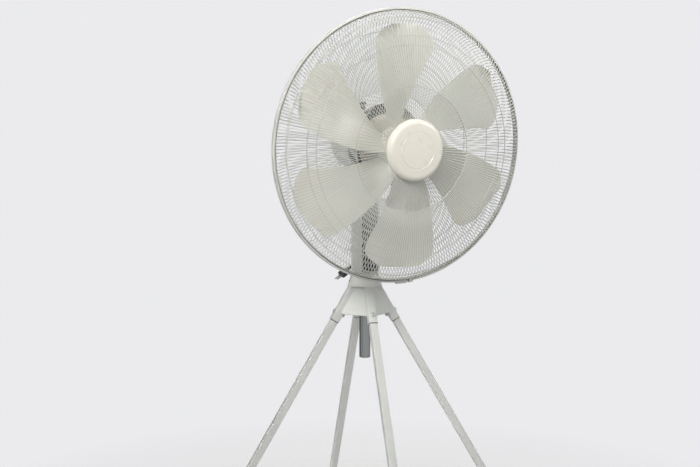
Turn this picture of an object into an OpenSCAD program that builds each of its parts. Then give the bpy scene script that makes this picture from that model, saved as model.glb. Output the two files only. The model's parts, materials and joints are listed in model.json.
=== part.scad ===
// Oscillating pedestal fan on a four-legged stand.
// Millimetres, +Z up. The origin is on the floor under the pole, and the head faces -Y.

/* [Stand] */
// Radius of the circle on which the legs' centre lines meet the floor
foot_circle_r = 440; // [425:5:455]
// Height at which the legs' centre lines would meet
leg_apex_z = 747; // [742:1:752]
// Side of the square leg tube
leg_w = 19; // [18:0.5:20]
// Wall of the leg tube
leg_wall = 1.5; // [1:0.25:2]
// Turn of the stand about the pole, away from the head's direction
stand_turn = -11.2; // [-45:0.1:45]
// Height of the top of the stand head
stand_top_z = 699; // [697:1:701]
// Height of the lower edge of the webs between the sockets
web_low_z = 627; // [620:1:635]
// Height at which the leg sockets end
socket_low_z = 611; // [600:1:615]

/* [Mast] */
// Radius of the sliding pole
pole_r = 14; // [13:0.5:14]
// Height of the pole's lower end when it is fully lowered
pole_low_z = 514; // [490:1:560]
// Width of the neck column
neck_w = 54; // [54:1:60]
// Depth of the neck column
neck_d = 60; // [60:1:66]
// Height of the neck column's lower end
neck_low_z = 734; // [734:1:740]
// Height of the neck column's upper end
neck_top_z = 912; // [910:1:914]
// Height of the speed knob
speed_knob_z = 800; // [790:1:840]

/* [Head] */
// Height of the tilt pivot
tilt_pivot_z = 955; // [953:1:957]
// Angle by which the head points down
nose_down = 6; // [0:0.1:8]
// Height of the motor's axis above the tilt pivot
motor_axis_h = 108.5; // [107:0.5:110]
// Distance from the pan axis to the plane of the guard's rim
rim_a = 187; // [184:1:190]

/* [Guard] */
// Radius of the guard's rim
guard_r = 320; // [315:1:325]
// Depth of the front guard
front_depth = 62; // [60:1:64]
// Depth of the rear guard
rear_depth = 80; // [78:1:82]
// Number of spokes in each guard
spokes = 60; // [36:4:72]
// Thickness of the spokes and rings
wire_d = 2.4; // [2:0.2:3]

/* [Blades] */
// Number of blades
blade_count = 6; // [3:1:6]
// Radius of the blades' tips
blade_r = 286; // [260:1:292]
// Angle of the first blade about the motor's axis
blade_turn = 89; // [0:1:120]
// Distance along the axis from the middle of a blade's root to its edges
blade_half_depth = 22; // [18:1:24]

/* [Cord] */
// Diameter of the mains lead
cord_d = 7; // [6.5:0.5:7]

/* [Hidden] */

$fn = 64;
fit = 0.05;          // radial clearance of a running fit
gap = 0.4;           // clearance between bodies that pass each other
big = 2000;          // larger than the whole fan

light_grey = [0.80, 0.81, 0.79];
cream = [0.86, 0.85, 0.81];
dark = [0.13, 0.13, 0.14];
cord_grey = [0.30, 0.30, 0.31];
steel = [0.72, 0.73, 0.75];
copper = [0.72, 0.42, 0.22];

// Stand
leg_splay = atan(foot_circle_r / leg_apex_z);
leg_start = 72;      // distance down the leg from the apex to its upper end
foot_wall = 2.5;
foot_sole = 8;
foot_height = 34;
socket_wall = 1.6;
web_wall = 2;
web_offset = 4;
web_tilt = atan(tan(leg_splay) * cos(45));
guide_r = 17;
head_plate = 3;
bolt_drop = 137;     // distance down the leg from the apex to its bolt

// Collar
flange_r = 44;
flange_top_z = stand_top_z + 4;
collar_low_r = 41.5;
collar_high_r = 34;
collar_screw_z = flange_top_z + 8;
collar_screw_a = [30, 41];
collar_top_z = stand_top_z + 33;
clamp_z = stand_top_z + 20;
clamp_turn = 154.4;
clamp_stem_r = 4;
clamp_boss = 42;

// Mast
pole_wall = 1.6;
pole_top_z = 905;
end_cap_h = 2;
neck_wall = 2.5;
neck_corner = 7;
panel_w = 44;
saddle_h = 13;
ear_in = 13;
ear_out = 21;
ear_r = 13.5;
tilt_bolt_r = 5;
lug_w = 25;
lug_half = 11;
switch_back = -15;

// Parts carried by the tilt bracket, measured up from the tilt pivot
plate_z = 14.3;
plate_top = 20;
pan_pin_r = 8;
pan_pin_top = 62;
post_at = [-30, 24];
post_r = 4;
arm_w = 12;
link_z = 70;
link_h = 3;
link_pin_r = 3;

// Motor, measured along its axis from the pan axis
motor_r = 83;
stator_r = 72;
stator_bore_r = 38;
stator_a = [48, 88];
housing_split_a = 56;
front_housing_a = 104;
rear_housing_a = 18;
cover_r = 76;
cover_wall = 2.5;
cover_end_a = -72;
shaft_r = 6;
bearing_r = 16;
bearing_w = 9;
guard_plate_a = rim_a - rear_depth;
guard_plate_r = 100;
guard_nut_r = 76;
hub_a = [172, 204];
hub_r = 15;

// Gear train: worm, worm wheel with its pinion, crank gear
worm_r = 5.5;
worm_shaft_r = 3.5;
worm_a = [-54, -22];
wheel_at = [20, 42];
wheel_r = 14.1;
wheel_z = motor_axis_h;
crank_at = [6, 24];
pinion_teeth = 10;
crank_teeth = 36;
gear_module = 1;
gear_z = 84;
gear_h = 5;
crank_r = 14.5;
crank_disc_z = 75.5;
mesh_way = atan2(crank_at[1] - wheel_at[1], crank_at[0] - wheel_at[0]);
case_low = 80;
case_high = 122;

// Guards and cap
guard_power = 3;
front_inner_r = 62;
rear_inner_r = 67;
front_rings = [66, 143, 237, 258, 300];
rear_rings = [70, 131, 212, 270];
rim_half = 7;
cap_r = 71;
cap_back = front_depth;
cap_front = cap_back + 19;
cap_edge = 9;
cap_wall = 3;
clip_turn = -84;

// Cord: its route is the lead, the coil's turns and the tail
coil_at = [33, 790];
coil_in_r = 31.5;
coil_out_r = 45.5;
coil_y = [33, 61];
gland_base = [-8, 30, 900];
hook_x = 18;
lead_points = [[-8, 43, 878], [-8, 48, 869.5], [-7, 52, 861], [-4, 55, 852], [2, 57, 844.5],
    [9, 57.5, 838.5], [20, 57.5, 834], [33, 57.5, 832]];
tail_points = [[51, 58, 760], [40, 62.5, 753.5], [26, 64.5, 748.5], [9, 64, 746], [-7, 62, 744]];
plug_way = [-0.8, 0, -0.6];
plug_l = 40;

// Frames
module on_leg(quarter) rotate([0, 0, stand_turn + 90 * quarter])
    translate([0, 0, leg_apex_z]) rotate([-leg_splay, 0, 0]) children();
module on_web(quarter) rotate([0, 0, stand_turn + 45 + 90 * quarter])
    translate([0, 0, leg_apex_z]) rotate([-web_tilt, 0, 0]) children();
module head_frame() translate([0, 0, tilt_pivot_z]) rotate([nose_down, 0, 0]) children();
module motor_frame() head_frame() translate([0, 0, motor_axis_h]) rotate([90, 0, 0]) children();

// A ring or tube about Z between two heights
module ring(r_out, r_in, z0, z1) translate([0, 0, z0]) difference() {
    cylinder(r = r_out, h = z1 - z0);
    translate([0, 0, -1]) cylinder(r = r_in, h = z1 - z0 + 2);
}
module rod(r, z0, z1) translate([0, 0, z0]) cylinder(r = r, h = z1 - z0);
module square_bar(w, low, high) translate([0, 0, low]) linear_extrude(high - low) square(w, center = true);
module rounded_rect(w, d, r) {
    square([w - 2 * r, d], center = true);
    square([w, d - 2 * r], center = true);
    for (x = [-1, 1], y = [-1, 1]) translate([x * (w / 2 - r), y * (d / 2 - r)]) circle(r, $fn = 32);
}

// A spoked gear outline with trapezoid teeth and backlash
function tooth(z, k, frac, r) = let (a = 360 / z * (k + frac)) [r * cos(a), r * sin(a)];
module gear_outline(z, turn) {
    r = gear_module * z / 2;
    rotate(turn) polygon([for (k = [0 : z - 1]) each [
        tooth(z, k, -0.29, r - 1.2), tooth(z, k, -0.11, r + 0.8),
        tooth(z, k, 0.11, r + 0.8), tooth(z, k, 0.29, r - 1.2)]]);
}

// Tube swept along a list of points
function unit(v) = v / norm(v);
function way(p, i) = unit(p[min(i + 1, len(p) - 1)] - p[max(i - 1, 0)]);
function side(t) = unit(cross(t, [0.3, 1, 0.2]));
function sweep_ring(p, i, r, n) = let (t = way(p, i), a = side(t), b = cross(t, a))
    [for (k = [0 : n - 1]) p[i] + r * (cos(360 * k / n) * a + sin(360 * k / n) * b)];
module swept_tube(points, r, n = 10) {
    rings = len(points);
    polyhedron(
        points = [for (i = [0 : rings - 1]) each sweep_ring(points, i, r, n)],
        faces = concat(
            [[for (k = [0 : n - 1]) k]],
            [for (i = [0 : rings - 2], k = [0 : n - 1])
                [i * n + k, (i + 1) * n + k, (i + 1) * n + (k + 1) % n, i * n + (k + 1) % n]],
            [[for (k = [n - 1 : -1 : 0]) (rings - 1) * n + k]]));
}
// Turns +Z to the direction v
module along(v) rotate([0, acos(v[2] / norm(v)), atan2(v[1], v[0])]) children();

// Guard profile: a superellipse from the rim to the middle
function guard_rz(t, depth) = [guard_r * pow(cos(t), 2 / guard_power), depth * pow(sin(t), 2 / guard_power)];
function guard_h(r, depth) = depth * pow(1 - pow(r / guard_r, guard_power), 1 / guard_power);
function guard_t(r) = acos(pow(r / guard_r, guard_power / 2));
module spoke_profile(depth, r_in) {
    steps = 12;
    t_end = guard_t(r_in);
    outer = [for (i = [0 : steps]) guard_rz(t_end * pow(i / steps, 1.3), depth)];
    inner = [for (i = [steps : -1 : 0]) guard_rz(t_end * pow(i / steps, 1.3), depth) - wire_d
        * unit([pow(outer[i][0] / guard_r, guard_power - 1) / guard_r,
            pow(outer[i][1] / depth, guard_power - 1) / depth])];
    polygon(concat(outer, inner));
}
// A guard about the motor's axis: way is 1 for the front and -1 for the rear
module guard(depth, r_in, rings, way, turn) translate([0, 0, rim_a]) mirror([0, 0, way < 0 ? 1 : 0]) {
    for (k = [0 : spokes - 1]) rotate([0, 0, turn + 360 / spokes * k]) rotate([90, 0, 0])
        translate([0, 0, -wire_d / 2]) linear_extrude(wire_d) spoke_profile(depth, r_in);
    for (r = rings) ring(r + wire_d / 2, r - wire_d / 2, guard_h(r, depth) - 1.6 * wire_d,
        guard_h(r, depth) - 0.6 * wire_d);
    ring(guard_r, guard_r - wire_d, 0.3, wire_d);
}

// Stand
module web(quarter) on_web(quarter) translate([0, -web_offset, 0]) rotate([90, 0, 0])
    linear_extrude(web_wall, center = true) {
        top = leg_apex_z - stand_top_z + 3;
        low = leg_apex_z - web_low_z;
        slope = tan(leg_splay) * sin(45);
        polygon([[-top * slope, -top / cos(web_tilt)], [top * slope, -top / cos(web_tilt)],
            [low * slope, -low / cos(web_tilt)], [-low * slope, -low / cos(web_tilt)]]);
    }
module stand_head() color(light_grey) difference() {
    union() {
        socket_end = (leg_apex_z - socket_low_z) / cos(leg_splay);
        for (q = [0 : 3]) {
            on_leg(q) square_bar(leg_w + 2 * socket_wall, -socket_end, -leg_start + 16);
            web(q);
        }
        rotate([0, 0, stand_turn + 45]) translate([-33, -33, stand_top_z - head_plate])
            cube([66, 66, head_plate]);
        rod(guide_r, web_low_z + 6, stand_top_z);
    }
    for (q = [0 : 3]) on_leg(q) {
        square_bar(leg_w + 0.2, -400, -leg_start);
        translate([0, 0, -bolt_drop]) rotate([90, 0, 0]) cylinder(r = 3, h = 60, center = true);
    }
    rod(pole_r + 0.5, 0, big);
    translate([-100, -100, stand_top_z]) cube(200);
}
module leg(quarter) color(light_grey) difference() {
    on_leg(quarter) difference() {
        square_bar(leg_w, -big / 2, -leg_start);
        square_bar(leg_w - 2 * leg_wall, -big / 2 - 1, -leg_start + 1);
        translate([0, 0, -bolt_drop]) rotate([90, 0, 0]) cylinder(r = 3, h = 60, center = true);
    }
    translate([-big / 2, -big / 2, -big + foot_sole]) cube(big);
}
module feet() color(dark) for (q = [0 : 3]) difference() {
    on_leg(q) square_bar(leg_w + 2 * foot_wall, -norm([foot_circle_r, leg_apex_z]) - 30,
        -norm([foot_circle_r, leg_apex_z]) + foot_height);
    difference() {
        on_leg(q) square_bar(leg_w, -big / 2, 0);
        translate([-big / 2, -big / 2, -big + foot_sole]) cube(big);
    }
    translate([-big / 2, -big / 2, -big]) cube(big);
}
module leg_bolts() color(steel) for (q = [0 : 3]) on_leg(q) translate([0, 0, -bolt_drop]) rotate([90, 0, 0]) {
    half = leg_w / 2 + socket_wall;
    rod(3, -half, half);
    rod(5, half, half + 3);
    translate([0, 0, -half - 4]) cylinder(r = 5.5, h = 4, $fn = 6);
}
module on_clamp() translate([0, 0, clamp_z]) rotate([0, 0, clamp_turn]) rotate([90, 0, 0]) children();
module on_collar_screws() for (a = [20 : 120 : 260])
    translate([0, 0, collar_screw_z]) rotate([0, 0, a]) rotate([90, 0, 0]) children();
module pole_collar() color(cream) difference() {
    union() {
        rod(flange_r, stand_top_z, flange_top_z);
        translate([0, 0, flange_top_z])
            cylinder(r1 = collar_low_r, r2 = collar_high_r, h = collar_top_z - flange_top_z);
        on_clamp() rod(9, 10, clamp_boss);
    }
    rod(pole_r + fit, 0, big);
    on_clamp() rod(clamp_stem_r + fit, 5, 50);
    on_collar_screws() rod(3.5, collar_screw_a[0] - 0.5, 60);
}
module collar_screws() color(steel) on_collar_screws() rod(3.5, collar_screw_a[0], collar_screw_a[1]);
module lobed_knob(r, h, lobes) {
    rod(r * 0.84, 0, h);
    for (k = [0 : lobes - 1]) rotate([0, 0, 360 / lobes * k])
        translate([r * 0.68, 0, 0]) cylinder(r = r * 0.32, h = h);
}
module clamp_knob() color(dark) on_clamp() {
    rod(clamp_stem_r, pole_r + gap, clamp_boss + 6);
    translate([0, 0, clamp_boss + 3]) lobed_knob(13, 18, 6);
}

// Mast
module pole() color(steel) ring(pole_r, pole_r - pole_wall, pole_low_z + end_cap_h, pole_top_z);
module pole_end_cap() color(dark) {
    rod(pole_r, pole_low_z, pole_low_z + end_cap_h);
    rod(pole_r - pole_wall, pole_low_z + end_cap_h, pole_low_z + 14);
}
module neck_casting() color(steel) difference() {
    union() {
        rod(pole_r + 4, 852, neck_top_z);
        translate([0, 0, neck_top_z]) linear_extrude(saddle_h) rounded_rect(neck_w - 4, neck_d - 12, 6);
        for (s = [-1, 1]) translate([s > 0 ? ear_in : -ear_out, 0, 0]) {
            translate([0, -ear_r, neck_top_z + saddle_h])
                cube([ear_out - ear_in, 2 * ear_r, tilt_pivot_z - neck_top_z - saddle_h]);
            translate([0, 0, tilt_pivot_z]) rotate([0, 90, 0]) cylinder(r = ear_r, h = ear_out - ear_in);
        }
    }
    rod(pole_r, 840, pole_top_z);
    translate([0, 0, tilt_pivot_z]) rotate([0, 90, 0]) cylinder(r = tilt_bolt_r, h = 60, center = true);
}
module neck_cover() color(light_grey) difference() {
    translate([0, 0, neck_low_z]) linear_extrude(neck_top_z - neck_low_z)
        rounded_rect(neck_w, neck_d, neck_corner);
    translate([0, 0, neck_low_z + neck_wall]) linear_extrude(neck_top_z)
        rounded_rect(neck_w - 2 * neck_wall, neck_d - 2 * neck_wall, neck_corner - neck_wall);
    translate([-panel_w / 2, -neck_d, neck_low_z + neck_wall]) cube([panel_w, neck_d - 10, neck_top_z]);
    rod(pole_r + 0.3, 0, big);
    translate(gland_base) rotate([-90, 0, 0]) cylinder(r = 5, h = 20, center = true);
}
module neck_panel() color(dark) difference() {
    translate([-panel_w / 2, -neck_d / 2, neck_low_z + neck_wall])
        cube([panel_w, neck_wall, neck_top_z - neck_low_z - neck_wall]);
    translate([0, 0, speed_knob_z]) rotate([90, 0, 0]) rod(5, 0, 60);
}
module speed_switch() color(steel) difference() {
    union() {
        translate([-13, -neck_d / 2 + neck_wall, speed_knob_z - 13])
            cube([26, neck_d / 2 - neck_wall + switch_back, 26]);
        translate([0, 0, speed_knob_z]) rotate([90, 0, 0]) rod(4.8, neck_d / 2 - neck_wall, neck_d / 2);
    }
    translate([0, 0, speed_knob_z]) rotate([90, 0, 0]) rod(3 + fit, -switch_back + 2, 60);
}
module speed_knob() color(dark) translate([0, 0, speed_knob_z]) rotate([90, 0, 0]) {
    front = neck_d / 2;
    rod(3, -switch_back + 2 + gap, front + 4);
    translate([0, 0, front + gap]) cylinder(r1 = 18, r2 = 17, h = 6);
    rod(15, front + gap + 6, front + 16);
    translate([-2.5, -15, front + 15]) cube([5, 30, 3]);
}
module capacitor() color(dark) translate([-17, 15, 800]) cube([34, neck_d / 2 - neck_wall - 15, 30]);
module tilt_bolt() color(steel) translate([0, 0, tilt_pivot_z]) rotate([0, 90, 0]) {
    rod(tilt_bolt_r, -ear_out, ear_out - 6);
    rotate([0, 180, 0]) translate([0, 0, ear_out]) cylinder(r = 8.5, h = 6, $fn = 6);
}
module tilt_knob() color(dark) translate([0, 0, tilt_pivot_z]) rotate([0, 90, 0]) {
    rod(tilt_bolt_r - fit, ear_out - 6 + gap, ear_out + 2);
    rod(9, ear_out + gap, ear_out + 6);
    translate([0, 0, ear_out + 5]) lobed_knob(20, 16, 5);
}

// Cord
module cord_gland() color(dark) {
    tip = lead_points[0] - gland_base;
    translate(gland_base) rotate([-90, 0, 0]) {
        cylinder(r = 8, h = 2.5);
        translate([0, 0, -neck_wall]) cylinder(r = 5, h = neck_wall);
    }
    difference() {
        translate(gland_base) along(tip) cylinder(r1 = 6.2, r2 = cord_d / 2 + 0.6, h = norm(tip));
        translate([-50, neck_d / 2 - 40, 850]) cube([60, 40, 80]);
    }
}
module cord_lead() color(cord_grey) swept_tube(lead_points, cord_d / 2);
module cord_tail() color(cord_grey) swept_tube(tail_points, cord_d / 2);
module cord_coil() color(cord_grey) translate([coil_at[0], coil_y[1], coil_at[1]]) rotate([90, 0, 0])
    ring(coil_out_r, coil_in_r, 0, coil_y[1] - coil_y[0]);
module coil_tie() color(dark) {
    mid = (coil_in_r + coil_out_r) / 2;
    thick = coil_out_r - coil_in_r;
    deep = coil_y[1] - coil_y[0];
    translate([coil_at[0] + mid, (coil_y[0] + coil_y[1]) / 2, coil_at[1]]) difference() {
        cube([thick + 3, deep + 3, 8], center = true);
        cube([thick, deep, 10], center = true);
    }
}
module plug() color(cord_grey) translate(tail_points[4]) along(plug_way) {
    cylinder(r1 = cord_d / 2 + 0.5, r2 = 6, h = 16);
    translate([0, 0, 16]) cylinder(r1 = 7, r2 = 10, h = 8);
    translate([0, 0, 24]) linear_extrude(plug_l - 24) rounded_rect(18, 26, 7);
}
module plug_pins() color(steel) translate(tail_points[4]) along(plug_way)
    for (s = [-1, 1]) translate([-0.75, s * 6.35 - 3.15, plug_l]) cube([1.5, 6.3, 17]);
module cord_hook() color(light_grey) {
    top = coil_at[1] + sqrt(pow(coil_in_r, 2) - pow(coil_at[0] - hook_x, 2)) - 0.6;
    translate([hook_x - 10, neck_d / 2, top - 14]) cube([16, neck_wall, 20]);
    translate([hook_x, neck_d / 2, top - 6]) cube([8, coil_y[1] + 0.5 - neck_d / 2 + 3, 6]);
    translate([hook_x, coil_y[1] + 0.5, top - 6]) cube([8, 3, 18]);
}

// Tilt bracket
module tilt_bracket() color(steel) head_frame() difference() {
    union() {
        translate([-lug_w / 2, 0, 0]) rotate([0, 90, 0]) cylinder(r = ear_r - 0.5, h = lug_w);
        translate([-lug_w / 2, -lug_half, 0]) cube([lug_w, 2 * lug_half, plate_top - 1]);
        rod(22, plate_z, plate_top);
        rotate([0, 0, atan2(post_at[1], post_at[0])]) translate([12, -arm_w / 2, plate_z + 0.5])
            cube([norm(post_at) - 12, arm_w, plate_top - plate_z - 1]);
        translate([post_at[0], post_at[1], 0]) {
            rod(arm_w / 2 + 1, plate_z, plate_top);
            rod(post_r, plate_z, link_z - gap);
            rod(link_pin_r, plate_z, link_z + link_h);
        }
    }
    rotate([0, 90, 0]) cylinder(r = tilt_bolt_r + fit, h = 60, center = true);
    rod(pan_pin_r, plate_z - 2, 100);
}
module pan_pin() color(steel) head_frame() {
    rod(pan_pin_r, plate_z - 2, pan_pin_top + 4);
    ring(11.5, pan_pin_r, pan_pin_top + 0.8, pan_pin_top + 2.4);
}
module pan_washer() color(steel) head_frame() ring(14, pan_pin_r, plate_top, plate_top + 1.6);

// Motor and gearbox
module pivot_bracket() color(steel) difference() {
    union() {
        head_frame() rod(13, plate_top + 2, pan_pin_top);
        head_frame() translate([-9, -rear_housing_a, 30]) cube([18, 12, pan_pin_top - 30]);
        motor_frame() rod(56, rear_housing_a - 5, rear_housing_a);
    }
    head_frame() rod(pan_pin_r + fit, 0, 90);
    motor_frame() rod(bearing_r, 0, 40);
}
module rear_housing() color(dark) motor_frame() difference() {
    rod(stator_r, rear_housing_a, housing_split_a);
    rod(stator_r - 3, rear_housing_a + 3, stator_a[0]);
    rod(stator_r - 2, stator_a[0], 60);
    rod(bearing_r - 5, 0, 40);
}
module front_housing() color(dark) motor_frame() difference() {
    union() {
        rod(motor_r - 4, housing_split_a, front_housing_a - 6);
        translate([0, 0, front_housing_a - 6]) cylinder(r1 = motor_r - 4, r2 = motor_r - 12, h = 6);
        for (k = [0 : 35]) rotate([0, 0, 10 * k + 5])
            translate([motor_r - 6, -1.2, housing_split_a]) cube([6, 2.4, 38]);
    }
    rod(stator_r, 0, stator_a[1] + 4);
    rod(bearing_r, 80, front_housing_a - 3);
    rod(shaft_r + 2, 80, 120);
}
module stator() color(steel) motor_frame() {
    ring(stator_r - 2, stator_bore_r, stator_a[0], housing_split_a);
    ring(stator_r, stator_bore_r, housing_split_a, stator_a[1]);
}
module windings() color(copper) motor_frame() {
    ring(62, 44, stator_a[0] - 16, stator_a[0]);
    ring(62, 44, stator_a[1], stator_a[1] + 4);
}
module front_bearing() color(steel) motor_frame() ring(bearing_r, shaft_r + fit,
    front_housing_a - 3 - bearing_w, front_housing_a - 3);
module rear_bearing() color(steel) motor_frame() ring(bearing_r, shaft_r + fit,
    rear_housing_a - 5, rear_housing_a);
module rear_cover() color(light_grey) difference() {
    motor_frame() difference() {
        union() {
            rod(cover_r, cover_end_a + 14, housing_split_a);
            translate([0, 0, cover_end_a]) cylinder(r1 = cover_r - 12, r2 = cover_r, h = 14);
        }
        rod(cover_r - cover_wall, cover_end_a + 14, 60);
        translate([0, 0, cover_end_a + cover_wall])
            cylinder(r1 = cover_r - 12 - cover_wall, r2 = cover_r - cover_wall, h = 14 - cover_wall + 0.01);
        for (x = [-40 : 8 : 40]) translate([x - 2, -45, cover_end_a - 5]) cube([4, 90, 12]);
    }
    head_frame() rod(48, -20, motor_axis_h - 30);
    head_frame() translate([0, 34, 0]) rod(2.5 + gap, 120, 220);
}
module gearbox_case() color(steel) head_frame() difference() {
    translate([-22, -rear_housing_a + 5, case_low]) cube([62, 73, case_high - case_low]);
    translate([-19, -rear_housing_a + 4, case_low + 3]) cube([56, 71, case_high - case_low]);
    translate([crank_at[0], crank_at[1], 0]) rod(6 + fit, 60, 90);
}
module gearbox_lid() color(steel) head_frame() difference() {
    translate([-22, -rear_housing_a + 5, case_high]) cube([62, 73, 3]);
    translate([wheel_at[0], wheel_at[1], 0]) rod(2.5 + fit, 100, 140);
    translate([0, 34, 0]) rod(2.5 + fit, 100, 140);
}
module clutch_knob() color(dark) head_frame() translate([0, 34, 0]) {
    top = motor_axis_h + cover_r + 1;
    rod(2.5, case_high + 1, top + 7);
    rod(7, top, top + 16);
    translate([0, 0, top + 16]) cylinder(r1 = 9, r2 = 8, h = 5);
}
module worm_wheel() color(cream) head_frame() translate([wheel_at[0], wheel_at[1], 0]) {
    rod(2.5, case_low + 3 + gap, case_high + 2);
    translate([0, 0, wheel_z - 4]) linear_extrude(8) difference() {
        circle(wheel_r);
        for (k = [0 : 29]) rotate(12 * k) translate([wheel_r, 0]) circle(0.7, $fn = 13);
    }
    translate([0, 0, gear_z]) linear_extrude(gear_h + 2) gear_outline(pinion_teeth, mesh_way);
}
module crank_gear() color(cream) head_frame() translate([crank_at[0], crank_at[1], 0]) {
    translate([0, 0, gear_z]) linear_extrude(gear_h)
        gear_outline(crank_teeth, mesh_way + 180 + 180 / crank_teeth);
    rod(6, crank_disc_z, gear_z);
    rod(crank_r + 4, crank_disc_z, case_low - gap);
    translate([0, crank_r, 0]) rod(link_pin_r, link_z + link_h + 0.6, crank_disc_z);
}
module link_rod() color(steel) head_frame() translate([post_at[0], post_at[1], link_z]) {
    reach = crank_at + [0, crank_r] - post_at;
    rotate([0, 0, atan2(reach[1], reach[0])]) difference() {
        union() {
            for (x = [0, norm(reach)]) translate([x, 0, 0]) cylinder(r = 7, h = link_h);
            translate([0, -5, 0]) cube([norm(reach), 10, link_h]);
        }
        for (x = [0, norm(reach)]) translate([x, 0, -1]) cylinder(r = link_pin_r + fit, h = link_h + 2);
    }
}

// Rotor
module motor_shaft() color(steel) motor_frame() {
    rod(shaft_r, rear_housing_a - 5, hub_a[1] + 12);
    rod(worm_shaft_r, worm_a[0] - 1.5, rear_housing_a - 5);
}
module rotor_core() color(steel) motor_frame() ring(stator_bore_r - 0.5, shaft_r, stator_a[0], stator_a[1]);
module worm() color(cream) motor_frame() difference() {
    ring(worm_r, worm_shaft_r, worm_a[0], worm_a[1]);
    for (a = [worm_a[0] + 2 : 3.1 : worm_a[1] - 2]) ring(worm_r + 1, worm_r - 0.8, a, a + 1.4);
}
module blade_hub() color(steel) motor_frame() ring(hub_r, shaft_r, hub_a[0] - 4, hub_a[1]);
module blade_nut() color(dark) motor_frame() {
    ring(20, shaft_r, hub_a[1], hub_a[1] + 3);
    translate([0, 0, hub_a[1] + 3]) difference() {
        cylinder(r = 12, h = 12, $fn = 6);
        translate([0, 0, -1]) cylinder(r = shaft_r, h = 20);
    }
}
// Blade outline: the angles of its edges at a radius, in degrees from the tip's centre line
root_r = 48;
blade_a = [rim_a - blade_half_depth - 2, rim_a + blade_half_depth + 8];
function edge_ccw(f) = 19.5 + 22 * pow(1 - f, 1.25) - 8 * pow(max(0, (f - 0.88) / 0.12), 2.5);
function edge_cw(f) = -18.5 + 16 * pow(1 - f, 1.5) + 13 * pow(max(0, (f - 0.8) / 0.2), 2.4);
function blade_point(f, v, lift) = let (
    r = root_r + (blade_r - root_r) * f,
    a = edge_cw(f) + (edge_ccw(f) - edge_cw(f)) * v,
    camber = 9 * (1 - pow(2 * v - 1, 2)) * (0.4 + 0.6 * f))
    [r * cos(a), r * sin(a), rim_a + blade_half_depth * (2 * v - 1) * (1 - 0.35 * f) - camber + 4 + lift];
module blade() {
    nr = 14;
    nv = 8;
    wall = 2.2;
    n = nv + 1;
    per_side = (nr + 1) * n;
    points = [for (lift = [0, wall], i = [0 : nr], j = [0 : nv]) blade_point(i / nr, j / nv, lift)];
    low = [for (i = [0 : nr - 1], j = [0 : nv - 1]) each [
        [i * n + j, (i + 1) * n + j, i * n + j + 1],
        [i * n + j + 1, (i + 1) * n + j, (i + 1) * n + j + 1]]];
    high = [for (f = low) [for (k = [2 : -1 : 0]) f[k] + per_side]];
    edge = concat([for (j = [0 : nv]) j], [for (i = [1 : nr]) i * n + nv],
        [for (j = [nv - 1 : -1 : 0]) nr * n + j], [for (i = [nr - 1 : -1 : 1]) i * n]);
    rim = [for (k = [0 : len(edge) - 1]) let (a = edge[k], b = edge[(k + 1) % len(edge)])
        each [[a, b, b + per_side], [a, b + per_side, a + per_side]]];
    polyhedron(points = points, faces = concat(low, high, rim));
}
module fan_blades() color(light_grey) motor_frame() {
    for (k = [0 : blade_count - 1]) rotate([0, 0, blade_turn + 360 / blade_count * k]) blade();
    difference() {
        union() {
            rod(52, blade_a[0], blade_a[1] - 4);
            translate([0, 0, blade_a[1] - 4]) cylinder(r1 = 52, r2 = 47, h = 4);
        }
        rod(44, blade_a[0] - 1, hub_a[1] - 4);
        rod(44, hub_a[1], 300);
        rod(hub_r, 100, 300);
    }
    ring(hub_r + 4, hub_r, hub_a[0] - 4, hub_a[1] - 3);
}

// Guards, rim and cap
module guard_plate() color(dark) motor_frame() difference() {
    union() {
        rod(guard_plate_r, front_housing_a, guard_plate_a);
        rod(60, guard_plate_a - 1, guard_plate_a + 11);
    }
    rod(shaft_r + 3, 90, 130);
}
module guard_nut() color(cream) motor_frame() {
    ring(68, 60, guard_plate_a + 4.8, guard_plate_a + 13.6);
    ring(68, 22, guard_plate_a + 11.6, guard_plate_a + 13.6);
    ring(guard_nut_r, 60, guard_plate_a + 4.8, guard_plate_a + 7.5);
}
module rear_guard() color(light_grey) motor_frame() guard(rear_depth, rear_inner_r, rear_rings, -1, 0);
module front_guard() color(light_grey) motor_frame() guard(front_depth, front_inner_r, front_rings, 1, 0);
module rim_band() color(light_grey) motor_frame() {
    ring(guard_r + 1.5, guard_r, rim_a - rim_half, rim_a + rim_half);
    ring(guard_r + 1.5, guard_r - 3.5, rim_a + rim_half - 1, rim_a + rim_half);
    ring(guard_r + 1.5, guard_r - 3.5, rim_a - rim_half, rim_a - rim_half + 1);
}
module clip_block(turn, length) rotate([0, 0, turn])
    translate([guard_r + 1.5, -length / 2, rim_a - 6]) cube([4, length, 12]);
module rim_clip() color(cream) motor_frame() {
    clip_block(clip_turn - 3, 27);
    clip_block(clip_turn + 1.5, 10);
    rotate([0, 0, clip_turn]) translate([guard_r + 2.5, -8, rim_a - 2]) cube([2, 14, 4]);
}
module cap() color(cream) motor_frame() translate([0, 0, rim_a]) difference() {
    union() {
        rod(cap_r, cap_back, cap_front - cap_edge);
        translate([0, 0, cap_front - cap_edge]) cylinder(r1 = cap_r, r2 = cap_r - cap_edge, h = cap_edge);
    }
    rod(cap_r - cap_wall, cap_back - 1, cap_front - cap_edge - cap_wall);
    rod(cap_r - cap_edge - cap_wall, cap_back - 1, cap_front - cap_wall);
    ring(43, 41.5, cap_front - 0.8, cap_front + 1);
}

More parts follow.
